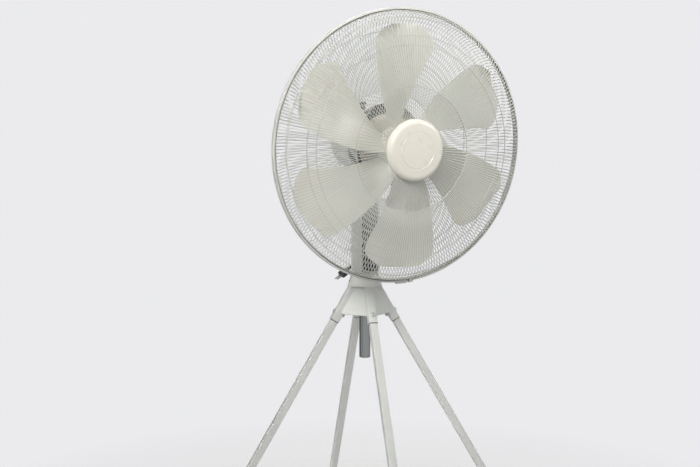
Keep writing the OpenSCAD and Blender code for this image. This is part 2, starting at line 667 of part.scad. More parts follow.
stand_head();
leg(0);  // leg_front
leg(1);  // leg_right
leg(2);  // leg_rear
leg(3);  // leg_left
feet();
leg_bolts();
pole_collar();
collar_screws();
clamp_knob();
pole();
pole_end_cap();
neck_casting();
neck_cover();
neck_panel();
speed_switch();
capacitor();
tilt_bolt();
cord_gland();
cord_lead();
cord_coil();
coil_tie();
cord_tail();
plug();
plug_pins();
cord_hook();
speed_knob();
tilt_bracket();
pan_pin();
pan_washer();
tilt_knob();
pivot_bracket();
rear_housing();
front_housing();
stator();
windings();
front_bearing();
rear_bearing();
rear_cover();
gearbox_case();
gearbox_lid();
guard_plate();
rear_guard();
guard_nut();
front_guard();
rim_band();
rim_clip();
cap();
motor_shaft();
rotor_core();
worm();
blade_hub();
fan_blades();
blade_nut();
worm_wheel();
crank_gear();
link_rod();
clutch_knob();
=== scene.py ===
"""Pedestal fan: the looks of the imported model. The head faces -Y.

Pieces are drawn in millimetres, each in its own local frame, and are placed in metres in the row frame.
"""
import json
from math import acos, atan, atan2, cos, degrees, pi, radians, sin, sqrt, tan

import bmesh
import bpy
from mathutils import Matrix, Vector


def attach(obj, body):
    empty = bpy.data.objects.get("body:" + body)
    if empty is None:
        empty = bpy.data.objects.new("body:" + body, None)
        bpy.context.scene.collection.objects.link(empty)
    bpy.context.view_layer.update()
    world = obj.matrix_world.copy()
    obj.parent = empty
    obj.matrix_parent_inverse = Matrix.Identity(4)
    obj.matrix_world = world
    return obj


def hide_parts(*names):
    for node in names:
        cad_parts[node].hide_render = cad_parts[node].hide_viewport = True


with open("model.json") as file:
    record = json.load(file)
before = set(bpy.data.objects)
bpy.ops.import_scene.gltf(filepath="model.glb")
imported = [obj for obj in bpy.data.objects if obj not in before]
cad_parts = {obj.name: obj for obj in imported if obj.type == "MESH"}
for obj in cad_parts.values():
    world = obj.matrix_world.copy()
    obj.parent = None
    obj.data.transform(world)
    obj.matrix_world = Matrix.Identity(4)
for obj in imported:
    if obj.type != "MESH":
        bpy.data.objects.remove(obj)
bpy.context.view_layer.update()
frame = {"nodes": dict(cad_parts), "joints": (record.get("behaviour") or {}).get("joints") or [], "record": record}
MM = 0.001
NODES = frame["nodes"]
JOINTS = {j["name"]: j for j in frame["joints"]}


# ---- frames, in millimetres

def spin(degrees_about, axis="Z"):
    """A turn about an axis, in degrees."""
    return Matrix.Rotation(radians(degrees_about), 4, axis)


def move(x, y, z):
    return Matrix.Translation((x, y, z))


def axes_frame(origin, z_axis, x_axis=(1, 0, 0)):
    """A frame at origin, in metres, whose Z is z_axis and whose X lies nearest to x_axis."""
    z = Vector(z_axis).normalized()
    y = z.cross(Vector(x_axis)).normalized()
    m = Matrix((y.cross(z), y, z)).transposed().to_4x4()
    m.translation = Vector(origin) / MM
    return m


def span(node, place):
    """Lowest and highest corners of a CAD node in a local frame, in millimetres."""
    inverse = place.inverted()
    points = [inverse @ (v.co / MM) for v in NODES[node].data.vertices]
    return (Vector([min(p[i] for p in points) for i in range(3)]),
            Vector([max(p[i] for p in points) for i in range(3)]))


ROW = Matrix()
HEAD = axes_frame(JOINTS["head_pan"]["pos_m"], JOINTS["head_pan"]["axis"])
MOTOR = axes_frame(JOINTS["fan_spin"]["pos_m"], JOINTS["fan_spin"]["axis"])

# Sizes from the frame
BAND_LOW, BAND_HIGH = span("rim_band", MOTOR)
RIM_A = (BAND_LOW.z + BAND_HIGH.z) / 2
BAND_R = BAND_HIGH.x
BAND_HALF = (BAND_HIGH.z - BAND_LOW.z) / 2
GUARD_R = span("front_guard", MOTOR)[1].x
CAP_LOW, CAP_HIGH = span("cap", MOTOR)
CAP_R = CAP_HIGH.x
FRONT_DEPTH = CAP_LOW.z - RIM_A
REAR_DEPTH = RIM_A - span("rear_guard", MOTOR)[0].z
POLE_R = span("pole", ROW)[1].x
POLE_LOW = span("pole_end_cap", ROW)[0].z
POLE_HIGH = span("pole", ROW)[1].z
STAND_TOP = span("stand_head", ROW)[1].z
COLLAR_TOP = span("pole_collar", ROW)[1].z
NECK_LOW, NECK_HIGH = span("neck_cover", ROW)
PIVOT_Z = JOINTS["head_tilt"]["pos_m"][2] / MM
SPEED_Z = JOINTS["speed_turn"]["pos_m"][2] / MM

# Sizes that the frame doesn't give directly
LEG_W = 19
LEG_WALL = 1.5
LEG_APEX = 747
FOOT_CIRCLE = 440
STAND_TURN = -11.2
SOCKET_WALL = 1.6
FOOT_SOLE = 8
FOOT_HEIGHT = 34
BOLT_DROP = 137
CLAMP_TURN = 154.4
WIRE_R = 0.95
WIRE_REACH = GUARD_R - 4.4
WIRES = 240
GUARD_POWER = 3
BLADES = 6
BLADE_TURN = 89
BLADE_ROOT, BLADE_TIP = 48, 286
BLADE_HALF_DEPTH = 22
CORD_D = 7


# ---- outlines and solids

EDGE_STEPS = 3
SHARP_ANGLE = 32


def rounded(corners, steps=5):
    """A closed outline from corners (x, y, radius), each rounded with an arc."""
    out = []
    for i, (x, y, r) in enumerate(corners):
        here = Vector((x, y))
        before = Vector(corners[i - 1][:2]) - here
        after = Vector(corners[(i + 1) % len(corners)][:2]) - here
        a, b = before.normalized(), after.normalized()
        half = acos(max(-1, min(1, a.dot(b)))) / 2
        if r <= 0 or half > 1.55:
            out.append(here)
            continue
        reach = min(r / tan(half), before.length * 0.49, after.length * 0.49)
        r = reach * tan(half)
        centre = here + (a + b).normalized() * (r / sin(half))
        start, end = here + a * reach - centre, here + b * reach - centre
        turn = start.angle_signed(end)
        for k in range(steps + 1):
            v = start.copy()
            v.rotate(Matrix.Rotation(-turn * k / steps, 2))
            out.append(centre + v)
    return out


def rectangle(w, d, r=0.0, steps=5):
    """A centred rectangle with rounded corners."""
    x, y = w / 2, d / 2
    return rounded([(-x, -y, r), (x, -y, r), (x, y, r), (-x, y, r)], steps)


def circle(r, steps=48):
    return [Vector((r * cos(2 * pi * k / steps), r * sin(2 * pi * k / steps))) for k in range(steps)]


def inset(outline, d):
    """The outline moved inwards by d, along the bisector at each point."""
    area = sum(p.x * q.y - q.x * p.y for p, q in zip(outline, outline[1:] + outline[:1]))
    side = 1 if area > 0 else -1
    out = []
    for i, p in enumerate(outline):
        a = (p - outline[i - 1]).normalized()
        b = (outline[(i + 1) % len(outline)] - p).normalized()
        n = Vector((-a.y - b.y, a.x + b.x)) * side
        scale = max(0.5, 0.5 * n.length_squared)
        out.append(p + n * (d / scale))
    return out


def extrude(outline, low, high, edge=0.0, hole=None):
    """A solid between two heights, which may depend on x and y. edge rounds its rims.

    A hole has as many points as the outline.
    """
    low_at = low if callable(low) else lambda x, y: low
    high_at = high if callable(high) else lambda x, y: high
    layers = []
    for k in range(EDGE_STEPS + 1 if edge else 1):
        a = radians(90 * k / EDGE_STEPS)
        layers.append((edge * (1 - sin(a)), edge * (1 - cos(a))))
    count = len(outline)
    points = []
    for d, lift in layers:
        points += [(p.x, p.y, low_at(p.x, p.y) + lift) for p in inset(outline, d)]
    for d, lift in reversed(layers):
        points += [(p.x, p.y, high_at(p.x, p.y) - lift) for p in inset(outline, d)]
    rows = 2 * len(layers)
    faces = sheath(rows, count)[:-2]
    top = (rows - 1) * count
    if hole is None:
        faces += [tuple(range(count - 1, -1, -1)), tuple(range(top, top + count))]
        return points, faces
    first = len(points)
    for at in (low_at, high_at):
        points += [(p.x, p.y, at(p.x, p.y)) for p in hole]
    for k in range(count):
        n = (k + 1) % count
        faces += [(first + k, first + n, first + count + n, first + count + k),
                  (k, n, first + n, first + k), (top + k, top + n, first + count + n, first + count + k)]
    return points, faces


def lathe(profile, steps=96, start=0.0, sweep=360.0):
    """A closed profile of (r, z) turned about Z, with flat ends where it is not a whole turn."""
    whole = sweep >= 360
    rings = steps if whole else steps + 1
    count = len(profile)
    points, faces = [], []
    for i in range(rings):
        a = radians(start + sweep * i / steps)
        points += [(p[0] * cos(a), p[0] * sin(a), p[1]) for p in profile]
    for i in range(steps):
        j = (i + 1) % rings
        for k in range(count):
            n = (k + 1) % count
            faces.append((i * count + k, j * count + k, j * count + n, i * count + n))
    if not whole:
        faces += [tuple(range(count)), tuple(range((rings - 1) * count, rings * count))]
    return points, faces


def tube(path, radius, sides):
    """A round tube along a path. radius may be one number or one for each point."""
    path = [Vector(p) for p in path]
    last = len(path) - 1
    radii = radius if isinstance(radius, list) else [radius] * len(path)
    points, normal = [], None
    for i, p in enumerate(path):
        t = (path[min(i + 1, last)] - path[max(i - 1, 0)]).normalized()
        if normal is None:
            normal = t.orthogonal()
        normal = (normal - t * normal.dot(t)).normalized()
        other = t.cross(normal)
        for k in range(sides):
            a = 2 * pi * k / sides
            points.append(p + (normal * cos(a) + other * sin(a)) * radii[i])
    return points, sheath(len(path), sides)


def sheath(rows, sides):
    """The faces of a closed skin over rows of points, with a flat end at each end."""
    faces = []
    for i in range(rows - 1):
        for k in range(sides):
            n = (k + 1) % sides
            faces.append((i * sides + k, i * sides + n, (i + 1) * sides + n, (i + 1) * sides + k))
    return faces + [tuple(range(sides)), tuple(range((rows - 1) * sides, rows * sides))]


def hexagon(across, r):
    """A hexagon by its width across flats."""
    far = across / sqrt(3)
    return rounded([(far * cos(pi / 3 * k), far * sin(pi / 3 * k), r) for k in range(6)], 3)


def lobed(r, depth, lobes, steps=96):
    """The outline of a lobed knob."""
    return [Vector((cos(2 * pi * k / steps), sin(2 * pi * k / steps)))
            * (r - depth * (0.5 - 0.5 * cos(2 * pi * lobes * k / steps)) ** 1.5) for k in range(steps)]


class Shape:
    """Points in millimetres and faces, from which a piece is made."""

    def __init__(self, part=None, place=ROW):
        self.points, self.faces = [], []
        if part:
            self.add(part, place)

    def add(self, part, place=ROW):
        points, faces = part
        first = len(self.points)
        self.points += [place @ Vector(p) for p in points]
        self.faces += [tuple(first + i for i in face) for face in faces]

    def add_round(self, part, count, place=ROW, start=0, about=ROW):
        """Adds a part count times, evenly spaced about the Z axis of a frame."""
        for k in range(count):
            self.add(part, about @ spin(start + 360 / count * k) @ place)


def new_object(name, data):
    """An object with this data, in the scene."""
    obj = bpy.data.objects.new(name, data)
    bpy.context.scene.collection.objects.link(obj)
    return obj


def piece(name, shape, place, body, slot, replaces=(), smooth=SHARP_ANGLE):
    """Makes a shape an object in the row frame, which rides on a body."""
    if not isinstance(shape, Shape):
        shape = Shape(shape)
    mesh = bpy.data.meshes.new(name)
    mesh.from_pydata([(place @ p) * MM for p in shape.points], [], shape.faces)
    bm = bmesh.new()
    bm.from_mesh(mesh)
    bmesh.ops.remove_doubles(bm, verts=bm.verts, dist=1e-6)
    bmesh.ops.dissolve_degenerate(bm, edges=bm.edges, dist=1e-7)
    bmesh.ops.recalc_face_normals(bm, faces=bm.faces)
    bm.to_mesh(mesh)
    bm.free()
    mesh.shade_smooth()
    mesh.set_sharp_from_angle(angle=radians(smooth))
    obj = new_object(name, mesh)
    mesh.materials.append(MATERIALS[slot])
    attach(obj, body)
    if replaces:
        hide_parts(*replaces)
    return obj


def carve(obj, place, shape):
    """Cuts a shape out of a piece."""
    tool = bpy.data.meshes.new("cutter")
    bm = bmesh.new()
    verts = [bm.verts.new((place @ p) * MM) for p in shape.points]
    for face in shape.faces:
        bm.faces.new([verts[i] for i in face])
    bmesh.ops.recalc_face_normals(bm, faces=bm.faces)
    bm.to_mesh(tool)
    bm.free()
    cutter = new_object("cutter", tool)
    modifier = obj.modifiers.new("cut", "BOOLEAN")
    modifier.operation, modifier.solver, modifier.object = "DIFFERENCE", "EXACT", cutter
    graph = bpy.context.evaluated_depsgraph_get()
    cut = bpy.data.meshes.new_from_object(obj.evaluated_get(graph))
    obj.modifiers.clear()
    obj.data = cut
    bpy.data.objects.remove(cutter)
    cut.shade_smooth()
    cut.set_sharp_from_angle(angle=radians(SHARP_ANGLE))
    return obj


# ---- materials

MATERIALS = {}


def nodes_of(name):
    """A new node material, its tree and its principled shader."""
    material = bpy.data.materials.new(name)
    material.use_nodes = True
    tree = material.node_tree
    return material, tree, tree.nodes["Principled BSDF"]


def link(source, socket):
    socket.id_data.links.new(source, socket)


def add(tree, kind, **values):
    """A shader node with its properties and, where the name is a socket's, its inputs set."""
    node = tree.nodes.new("ShaderNode" + kind)
    for key, value in values.items():
        socket = node.inputs.get(key.replace("_", " "))
        if socket is not None and not hasattr(node, key):
            socket.default_value = value
        else:
            setattr(node, key, value)
    return node


def noise(tree, place, scale, detail=3.0, rough=0.5):
    """A noise value over the object's own coordinates."""
    node = add(tree, "TexNoise", Scale=scale, Detail=detail, Roughness=rough)
    link(place, node.inputs["Vector"])
    return node.outputs["Fac"]


def ramp(tree, fac, low, high, a, b):
    """fac from low to high becomes a to b."""
    node = add(tree, "MapRange")
    link(fac, node.inputs["Value"])
    for key, value in (("From Min", low), ("From Max", high), ("To Min", a), ("To Max", b)):
        node.inputs[key].default_value = value
    return node.outputs["Result"]


def mix_colour(tree, fac, a, b):
    """Colour a where fac is 0 and b where it is 1. Either may be a socket."""
    node = add(tree, "Mix", data_type="RGBA")
    link(fac, node.inputs["Factor"])
    for socket, value in ((node.inputs[6], a), (node.inputs[7], b)):
        if isinstance(value, bpy.types.NodeSocket):
            link(value, socket)
        else:
            socket.default_value = (*value, 1)
    return node.outputs[2]


def bump(tree, shader, height, strength, distance):
    node = add(tree, "Bump", Strength=strength, Distance=distance)
    link(height, node.inputs["Height"])
    link(node.outputs["Normal"], shader.inputs["Normal"])


def coords(tree, scale=(1, 1, 1), turn=(0, 0, 0)):
    """Object coordinates, stretched and turned."""
    place = add(tree, "TexCoord").outputs["Object"]
    mapping = add(tree, "Mapping", Scale=scale, Rotation=turn)
    link(place, mapping.inputs["Vector"])
    return mapping.outputs["Vector"]


def shaded(colour, factor):
    return tuple(min(1, c * factor) for c in colour)


def surface(name, colour, rough, metal=0.0, spread=0.06, grain=900.0, relief=0.12, depth=0.00015,
            coat=0.0, stretch=(1, 1, 1), dust=0.0):
    """Paint, plastic or metal: cloudy tone, a fine grain in relief, uneven gloss and a little dust."""
    material, tree, shader = nodes_of(name)
    place = coords(tree, stretch)
    cloud = noise(tree, place, 9, 4)
    tone = mix_colour(tree, ramp(tree, cloud, 0.3, 0.7, 0, 1),
                      shaded(colour, 1 - spread), shaded(colour, 1 + spread))
    if dust:
        specks = noise(tree, place, 260, 2, 0.6)
        tone = mix_colour(tree, ramp(tree, specks, 0.62, 0.74, 0, dust), tone, shaded(colour, 0.62))
    link(tone, shader.inputs["Base Color"])
    gloss = noise(tree, place, 38, 4)
    link(ramp(tree, gloss, 0.3, 0.7, rough - 0.06, rough + 0.08), shader.inputs["Roughness"])
    shader.inputs["Metallic"].default_value = metal
    if coat:
        shader.inputs["Coat Weight"].default_value = coat
        shader.inputs["Coat Roughness"].default_value = 0.12
    bump(tree, shader, noise(tree, place, grain, 2), relief, depth)
    MATERIALS[name] = material


def banded(name, dark, light, rough, metal, pitch, turn=(0, 0, 0)):
    """Fine parallel bands, for laminations and windings. pitch is in metres."""
    material, tree, shader = nodes_of(name)
    place = coords(tree, (1, 1, 1), turn)
    wave = add(tree, "TexWave", Scale=1 / pitch / 3.2, Distortion=0.6, Detail=1.0)
    link(place, wave.inputs["Vector"])
    link(mix_colour(tree, wave.outputs["Fac"], dark, light), shader.inputs["Base Color"])
    link(ramp(tree, noise(tree, place, 120), 0.3, 0.7, rough - 0.05, rough + 0.1),
                   shader.inputs["Roughness"])
    shader.inputs["Metallic"].default_value = metal
    bump(tree, shader, wave.outputs["Fac"], 0.5, 0.0003)
    MATERIALS[name] = material


def make_materials():
    """One material for each slot of the record."""
    surface("painted_grey", (0.62, 0.63, 0.60), 0.36, spread=0.04, grain=1100, relief=0.16, dust=0.25)
    surface("rubber", (0.035, 0.035, 0.037), 0.78, grain=1600, relief=0.5, dust=0.3)
    surface("bolt_steel", (0.62, 0.62, 0.60), 0.3, metal=1.0, grain=700, relief=0.08)
    surface("collar_enamel", (0.72, 0.72, 0.68), 0.3, spread=0.03, grain=700, relief=0.1)
    surface("knob_plastic", (0.03, 0.03, 0.033), 0.48, grain=2200, relief=0.4)
    surface("pole_chrome", (0.66, 0.69, 0.67), 0.13, metal=1.0, spread=0.03, relief=0.05,
            stretch=(1, 1, 0.08))
    surface("cast_metal", (0.42, 0.43, 0.44), 0.5, metal=0.8, grain=520, relief=0.5, depth=0.0003)
    surface("machined_steel", (0.5, 0.5, 0.51), 0.28, metal=1.0, relief=0.2, stretch=(1, 6, 1))
    surface("neck_plastic", (0.64, 0.65, 0.62), 0.42, spread=0.03, grain=2400, relief=0.3)
    surface("panel_plastic", (0.02, 0.02, 0.022), 0.4, grain=2400, relief=0.3, dust=0.2)
    surface("switch_body", (0.1, 0.1, 0.11), 0.5, relief=0.3)
    surface("capacitor_case", (0.02, 0.02, 0.022), 0.42, relief=0.2)
    surface("cord_pvc", (0.045, 0.044, 0.045), 0.45, spread=0.1, grain=1500, relief=0.25)
    surface("housing_black", (0.016, 0.016, 0.017), 0.42, spread=0.12, grain=800, relief=0.5, dust=0.5)
    banded("laminations", (0.16, 0.16, 0.17), (0.4, 0.4, 0.42), 0.4, 0.9, 0.0012, (0, 0, radians(90)))
    banded("copper_wire", (0.3, 0.11, 0.04), (0.66, 0.3, 0.12), 0.35, 0.85, 0.0011)
    surface("cover_plastic", (0.62, 0.63, 0.60), 0.4, spread=0.03, grain=2400, relief=0.3)
    surface("guard_wire", (0.60, 0.605, 0.565), 0.34, spread=0.05, relief=0.1, dust=0.2)
    surface("guard_band", (0.60, 0.60, 0.56), 0.33, spread=0.04, grain=1100, relief=0.12, dust=0.2)
    surface("cream_plastic", (0.72, 0.695, 0.62), 0.3, spread=0.02, grain=1800, relief=0.12, coat=0.25)
    surface("gear_nylon", (0.78, 0.76, 0.66), 0.42, grain=1500, relief=0.2)
    surface("blade_plastic", (0.73, 0.72, 0.65), 0.34, spread=0.04, grain=1400, relief=0.1, coat=0.15,
            dust=0.1)


# ---- camera, floor and lights

def make_camera():
    """From the left of the way the head faces, a little under the hub's height."""
    heading, distance, height = radians(-25.62), 2.466, 0.990
    pitch, yaw = radians(3.7), radians(0.88)
    data = bpy.data.cameras.new("camera")
    camera = new_object("camera", data)
    data.sensor_width, data.lens = 36, 50
    data.clip_start, data.clip_end = 0.05, 60
    camera.location = (sin(heading) * distance, -cos(heading) * distance, height)
    look = Vector((0, cos(pitch), -sin(pitch)))
    look.rotate(Matrix.Rotation(heading + yaw, 3, "Z"))
    camera.rotation_euler = look.to_track_quat("-Z", "Y").to_euler()
    bpy.context.scene.camera = camera


def area_light(name, place, aim, size, power, colour, spread=180):
    """A round soft light. size is in metres and power in watts."""
    data = bpy.data.lights.new(name, "AREA")
    data.shape, data.size, data.energy, data.color = "DISK", size, power, colour
    data.spread = radians(spread)
    light = new_object(name, data)
    light.location = place
    light.rotation_euler = (Vector(aim) - Vector(place)).to_track_quat("-Z", "Y").to_euler()


FLOOR_R = 3200
FLOOR_DEEP = 4
FLOOR_DROP = 0.0005


def make_floor():
    """A pale round floor that fades into the even background."""
    points, faces = lathe([(0, 0), (FLOOR_R, 0), (FLOOR_R, -FLOOR_DEEP), (0, -FLOOR_DEEP)])
    mesh = bpy.data.meshes.new("floor")
    mesh.from_pydata([Vector(p) * MM for p in points], [], faces)
    floor = new_object("floor", mesh)
    floor.location.z = -FLOOR_DROP
    material, tree, shader = nodes_of("floor")
    place = coords(tree)
    distance = add(tree, "VectorMath", operation="LENGTH")
    link(place, distance.inputs[0])
    shader.inputs["Base Color"].default_value = (0.80, 0.78, 0.75, 1)
    shader.inputs["Roughness"].default_value = 0.6
    glow = add(tree, "Emission", Color=(0.80, 0.80, 0.81, 1))
    even = add(tree, "MixShader")
    link(ramp(tree, distance.outputs["Value"], 0.3, 0.9, 0.35, 0.9), even.inputs["Fac"])
    link(shader.outputs["BSDF"], even.inputs[1])
    link(glow.outputs["Emission"], even.inputs[2])
    clear = add(tree, "BsdfTransparent")
    blend = add(tree, "MixShader")
    link(ramp(tree, distance.outputs["Value"], 0.6, 1.4, 0, 1), blend.inputs["Fac"])
    link(even.outputs["Shader"], blend.inputs[1])
    link(clear.outputs["BSDF"], blend.inputs[2])
    link(blend.outputs["Shader"], tree.nodes["Material Output"].inputs["Surface"])
    mesh.materials.append(material)


def make_world():
    """A pale background, and a weak sky light that is stronger from the front."""
    world = bpy.data.worlds.new("studio")
    bpy.context.scene.world = world
    world.use_nodes = True
    tree = world.node_tree
    light = tree.nodes["Background"]
    light.inputs["Color"].default_value = (0.96, 0.98, 1.0, 1)
    way = add(tree, "SeparateXYZ")
    link(add(tree, "TexCoord").outputs["Generated"], way.inputs["Vector"])
    link(ramp(tree, way.outputs["Y"], -0.8, 0.9, 0.36, 0.09), light.inputs["Strength"])
    seen = add(tree, "Background", Color=(0.83, 0.83, 0.85, 1))
    choose = add(tree, "MixShader")
    link(add(tree, "LightPath").outputs["Is Camera Ray"], choose.inputs["Fac"])
    link(light.outputs["Background"], choose.inputs[1])
    link(seen.outputs["Background"], choose.inputs[2])
    link(choose.outputs["Shader"], tree.nodes["World Output"].inputs["Surface"])


def make_lights():
    """Soft lights round the object, and plain colour handling."""
    area_light("key", (-2.6, -2.2, 3.0), (0, -0.2, 1.25), 1.8, 8.4, (1.0, 0.985, 0.95), 34)
    area_light("side", (-3.4, 0.4, 1.8), (0, 0, 0.8), 2.0, 21, (0.98, 0.99, 1.0))
    area_light("fill", (2.5, -2.4, 2.3), (0.1, -0.2, 1.15), 1.2, 2.5, (1.0, 0.99, 0.96), 34)
    area_light("top", (-0.3, -0.7, 3.3), (0, 0, 0.8), 2.0, 21, (1.0, 0.99, 0.97))
    area_light("back", (1.6, 2.9, 2.2), (0, 0, 0.9), 2.0, 36, (0.97, 0.99, 1.0))
    view = bpy.context.scene.view_settings
    view.view_transform, view.look = "Standard", "None"


# ---- mains lead

LEAD = [(-8, 43, 878), (-8, 48, 869.5), (-7, 52, 861), (-4, 55, 852), (2, 57, 844.5),
        (9, 57.5, 838.5), (20, 57.5, 834), (33, 57.5, 832)]
TAIL = [(51, 58, 760), (40, 62.5, 753.5), (26, 64.5, 748.5), (9, 64, 746), (-7, 62, 744)]
GLAND = (-8, 30, 900)
COIL_AT = (33, 790)
COIL_R = (42, 35)
COIL_Y = (57.5, 50.5, 43.5, 36.5)
HOOK_X = 18
PLUG_WAY = (-0.8, 0, -0.6)
PLUG_L = 40


def coil_points(per_turn=28):
    """The coil's turns from the top, clockwise seen from the front: a layer inwards, then a layer back."""
    rows = [(COIL_R[0], y) for y in COIL_Y] + [(COIL_R[1], y) for y in COIL_Y[:0:-1]]
    rows.append((COIL_R[1], COIL_Y[0] + 0.5))
    end = 7 + (90 - degrees(atan2(TAIL[0][2] - COIL_AT[1], TAIL[0][0] - COIL_AT[0]))) / 360
    points = []
    for k in range(1, int(end * per_turn)):
        turns = k / per_turn
        row = min(int(turns), len(rows) - 1)
        r, y = rows[row]
        step = max(0.0, (turns - row - 0.75) / 0.25)
        if row + 1 < len(rows) and step:
            ease = step * step * (3 - 2 * step)
            r += (rows[row + 1][0] - r) * ease
            y += (rows[row + 1][1] - y) * ease
        a = radians(90 - 360 * turns)
        points.append((COIL_AT[0] + r * cos(a), y, COIL_AT[1] + r * sin(a)))
    return points


def make_cord():
    """The mains lead, which lies along one route from the strain relief to the plug."""
    route = LEAD + coil_points() + TAIL
    curve = bpy.data.curves.new("mains_lead", "CURVE")
    curve.dimensions = "3D"
    curve.bevel_depth, curve.bevel_resolution, curve.use_fill_caps = CORD_D / 2 * MM, 4, True
    spline = curve.splines.new("POLY")
    spline.points.add(len(route) - 1)
    for point, p in zip(spline.points, route):
        point.co = (*(Vector(p) * MM), 1)
    cord = new_object("mains_lead", curve)
    curve.materials.append(MATERIALS["cord_pvc"])
    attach(cord, "mast")
    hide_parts("cord_lead", "cord_coil", "cord_tail")
    make_plug()
    make_pins()
    make_tie()


def plug_frame():
    """Z along the plug, X the thin way across it."""
    way = Vector(PLUG_WAY).normalized()
    x = Vector((0, 1, 0)).cross(way)
    m = Matrix((x, way.cross(x), way)).transposed().to_4x4()
    m.translation = TAIL[-1]
    return m


def make_plug():
    """A moulded two-pin plug with a ribbed bend relief."""
    shape = Shape()
    for k in range(5):
        r, low, high = 4.6 + 0.35 * k, 3.4 * k, 3.4 * k + 2.4
        shape.add(lathe(rounded([(3.3, low, 0), (r, low, 0.7), (r, high, 0.7), (3.3, high, 0)]), 32))
    shape.add(lathe([(0, 0), (3.9, 0), (5.0, 17), (0, 17)], 32))
    sections = [(15.5, 4.6, 4.6), (18, 6.4, 7.4), (22, 7.9, 10.4), (26, 8.8, 12.4), (31, 9.0, 13.0),
                (PLUG_L - 1.5, 9.0, 13.0), (PLUG_L - 0.4, 8.6, 12.6), (PLUG_L, 7.8, 11.8)]
    sides = 40
    points = []
    for z, a, b in sections:
        for k in range(sides):
            t = 2 * pi * k / sides
            x, y = cos(t), sin(t)
            points.append((a * abs(x) ** 0.6 * (1 if x > 0 else -1),
                           b * abs(y) ** 0.6 * (1 if y > 0 else -1), z))
    shape.add((points, sheath(len(sections), sides)))
    for s in (-1, 1):
        for k in range(4):
            grip = extrude(rectangle(14 - k * 1.2, 1.1, 0.5), -0.6, 0.6, 0.4)
            shape.add(grip, move(s * 8.9, 0, 26 + 2.8 * k) @ spin(90, "Y") @ spin(90))
    return piece("plug_body", shape, plug_frame(), "mast", "cord_pvc", ["plug"])


def make_pins():
    """Two flat pins with rounded tips and a hole near each."""
    shape = Shape()
    for s in (-1, 1):
        outline = rounded([(-3.15, 0, 0), (3.15, 0, 0), (3.15, 17, 1.6), (-3.15, 17, 1.6)])
        blade = extrude(outline, -0.75, 0.75, 0.25)
        shape.add(blade, move(0, s * 6.35, PLUG_L - 0.5) @ spin(90, "Z") @ spin(90, "X"))
    pins = piece("plug_blades", shape, plug_frame(), "mast", "bolt_steel", ["plug_pins"])
    holes = Shape()
    for s in (-1, 1):
        holes.add(extrude(circle(1.6, 24), -4, 4), move(0, s * 6.35, PLUG_L + 12) @ spin(90, "Y"))
    return carve(pins, plug_frame(), holes)


def make_tie():
    """A hook-and-loop strap round the turns."""
    middle = (COIL_R[0] + COIL_R[1]) / 2
    deep, thick = COIL_Y[0] - COIL_Y[-1] + CORD_D + 1.2, COIL_R[0] - COIL_R[1] + CORD_D + 1.2
    outer = rectangle(thick + 2.4, deep + 2.4, 4)
    inner = rectangle(thick, deep, 3)
    at = move(COIL_AT[0] + middle, (COIL_Y[0] + COIL_Y[-1]) / 2, COIL_AT[1])
    shape = Shape(extrude(outer, -4, 4, 0.5, inner), at)
    tab = extrude(rectangle(9, 1.3, 0.5), -3.8, 3.8, 0.4)
    shape.add(tab, at @ move(thick / 2 + 0.5, -deep / 2 - 1.6, 0))
    return piece("coil_strap", shape, ROW, "mast", "cord_pvc", ["coil_tie"])


def make_gland():
    """A flanged strain relief that tapers along the lead, with bend slots."""
    tip, base = Vector(LEAD[0]), Vector(GLAND)
    flange = rounded([(0, -2.5, 0), (5, -2.5, 0), (5, 0, 0), (8, 0, 0), (8, 2.6, 1.2), (0, 2.6, 0)])
    shape = Shape(lathe(flange, 40), move(*base) @ spin(-90, "X"))
    path, radii = [], []
    for k in range(21):
        along = k / 20
        path.append(base + Vector((0, 2 + 14 * along, -1.5 * along - 20.5 * along * along)))
        radii.append(6.0 - 1.9 * k / 20 - (0.7 if k % 3 == 2 and 2 < k < 19 else 0))
    path[-1] = tip
    shape.add(tube(path, radii, 24))
    piece("cord_strain_relief", shape, ROW, "mast", "cord_pvc", ["cord_gland"], smooth=50)


# ---- guards, rim and cap

def guard_point(t, depth, in_by=0.0):
    """Radius and height on a guard's superellipse, moved inwards along its normal."""
    r = WIRE_REACH * cos(t) ** (2 / GUARD_POWER)
    h = depth * sin(t) ** (2 / GUARD_POWER)
    n = Vector(((r / WIRE_REACH) ** (GUARD_POWER - 1) / WIRE_REACH,
                (h / depth) ** (GUARD_POWER - 1) / depth)).normalized()
    return r - n.x * in_by, h - n.y * in_by


def guard_t(r):
    """The angle on a guard's superellipse at which it has this radius."""
    return acos((r / WIRE_REACH) ** (GUARD_POWER / 2))


def guard_wires(depth, side, inner_r, mid_r, steps=22):
    """Radial wires. Every second one ends on an intermediate ring."""
    shape = Shape()
    for k in range(WIRES):
        t_end = guard_t(inner_r if k % 2 == 0 else mid_r - 1)
        path = []
        for i in range(steps + 1):
            r, h = guard_point(max(0.012, t_end * (i / steps) ** 1.35), depth, WIRE_R)
            path.append((r, 0, side * h))
        shape.add(tube(path, WIRE_R, 6), move(0, 0, RIM_A) @ spin(360 * (k + 0.5) / WIRES))
    return shape


def ring_wire(r, z, wire_r, steps=144, sides=8):
    return lathe([(r + wire_r * cos(2 * pi * k / sides), z + wire_r * sin(2 * pi * k / sides))
                  for k in range(sides)], steps)


def guard_rings(depth, side, radii, inner_r):
    """The rings that the radial wires are welded to, with a stouter one at each end."""
    shape = Shape()
    for r in radii:
        ring_r, h = guard_point(guard_t(r), depth, 3 * WIRE_R)
        shape.add(ring_wire(ring_r, RIM_A + side * h, WIRE_R * 1.15))
    r, h = guard_point(guard_t(inner_r + 2), depth, 2 * WIRE_R)
    shape.add(ring_wire(r, RIM_A + side * h, 2.0))
    shape.add(ring_wire(WIRE_REACH - 0.6, RIM_A + side * 2.6, 1.9, 240, 10))
    return shape


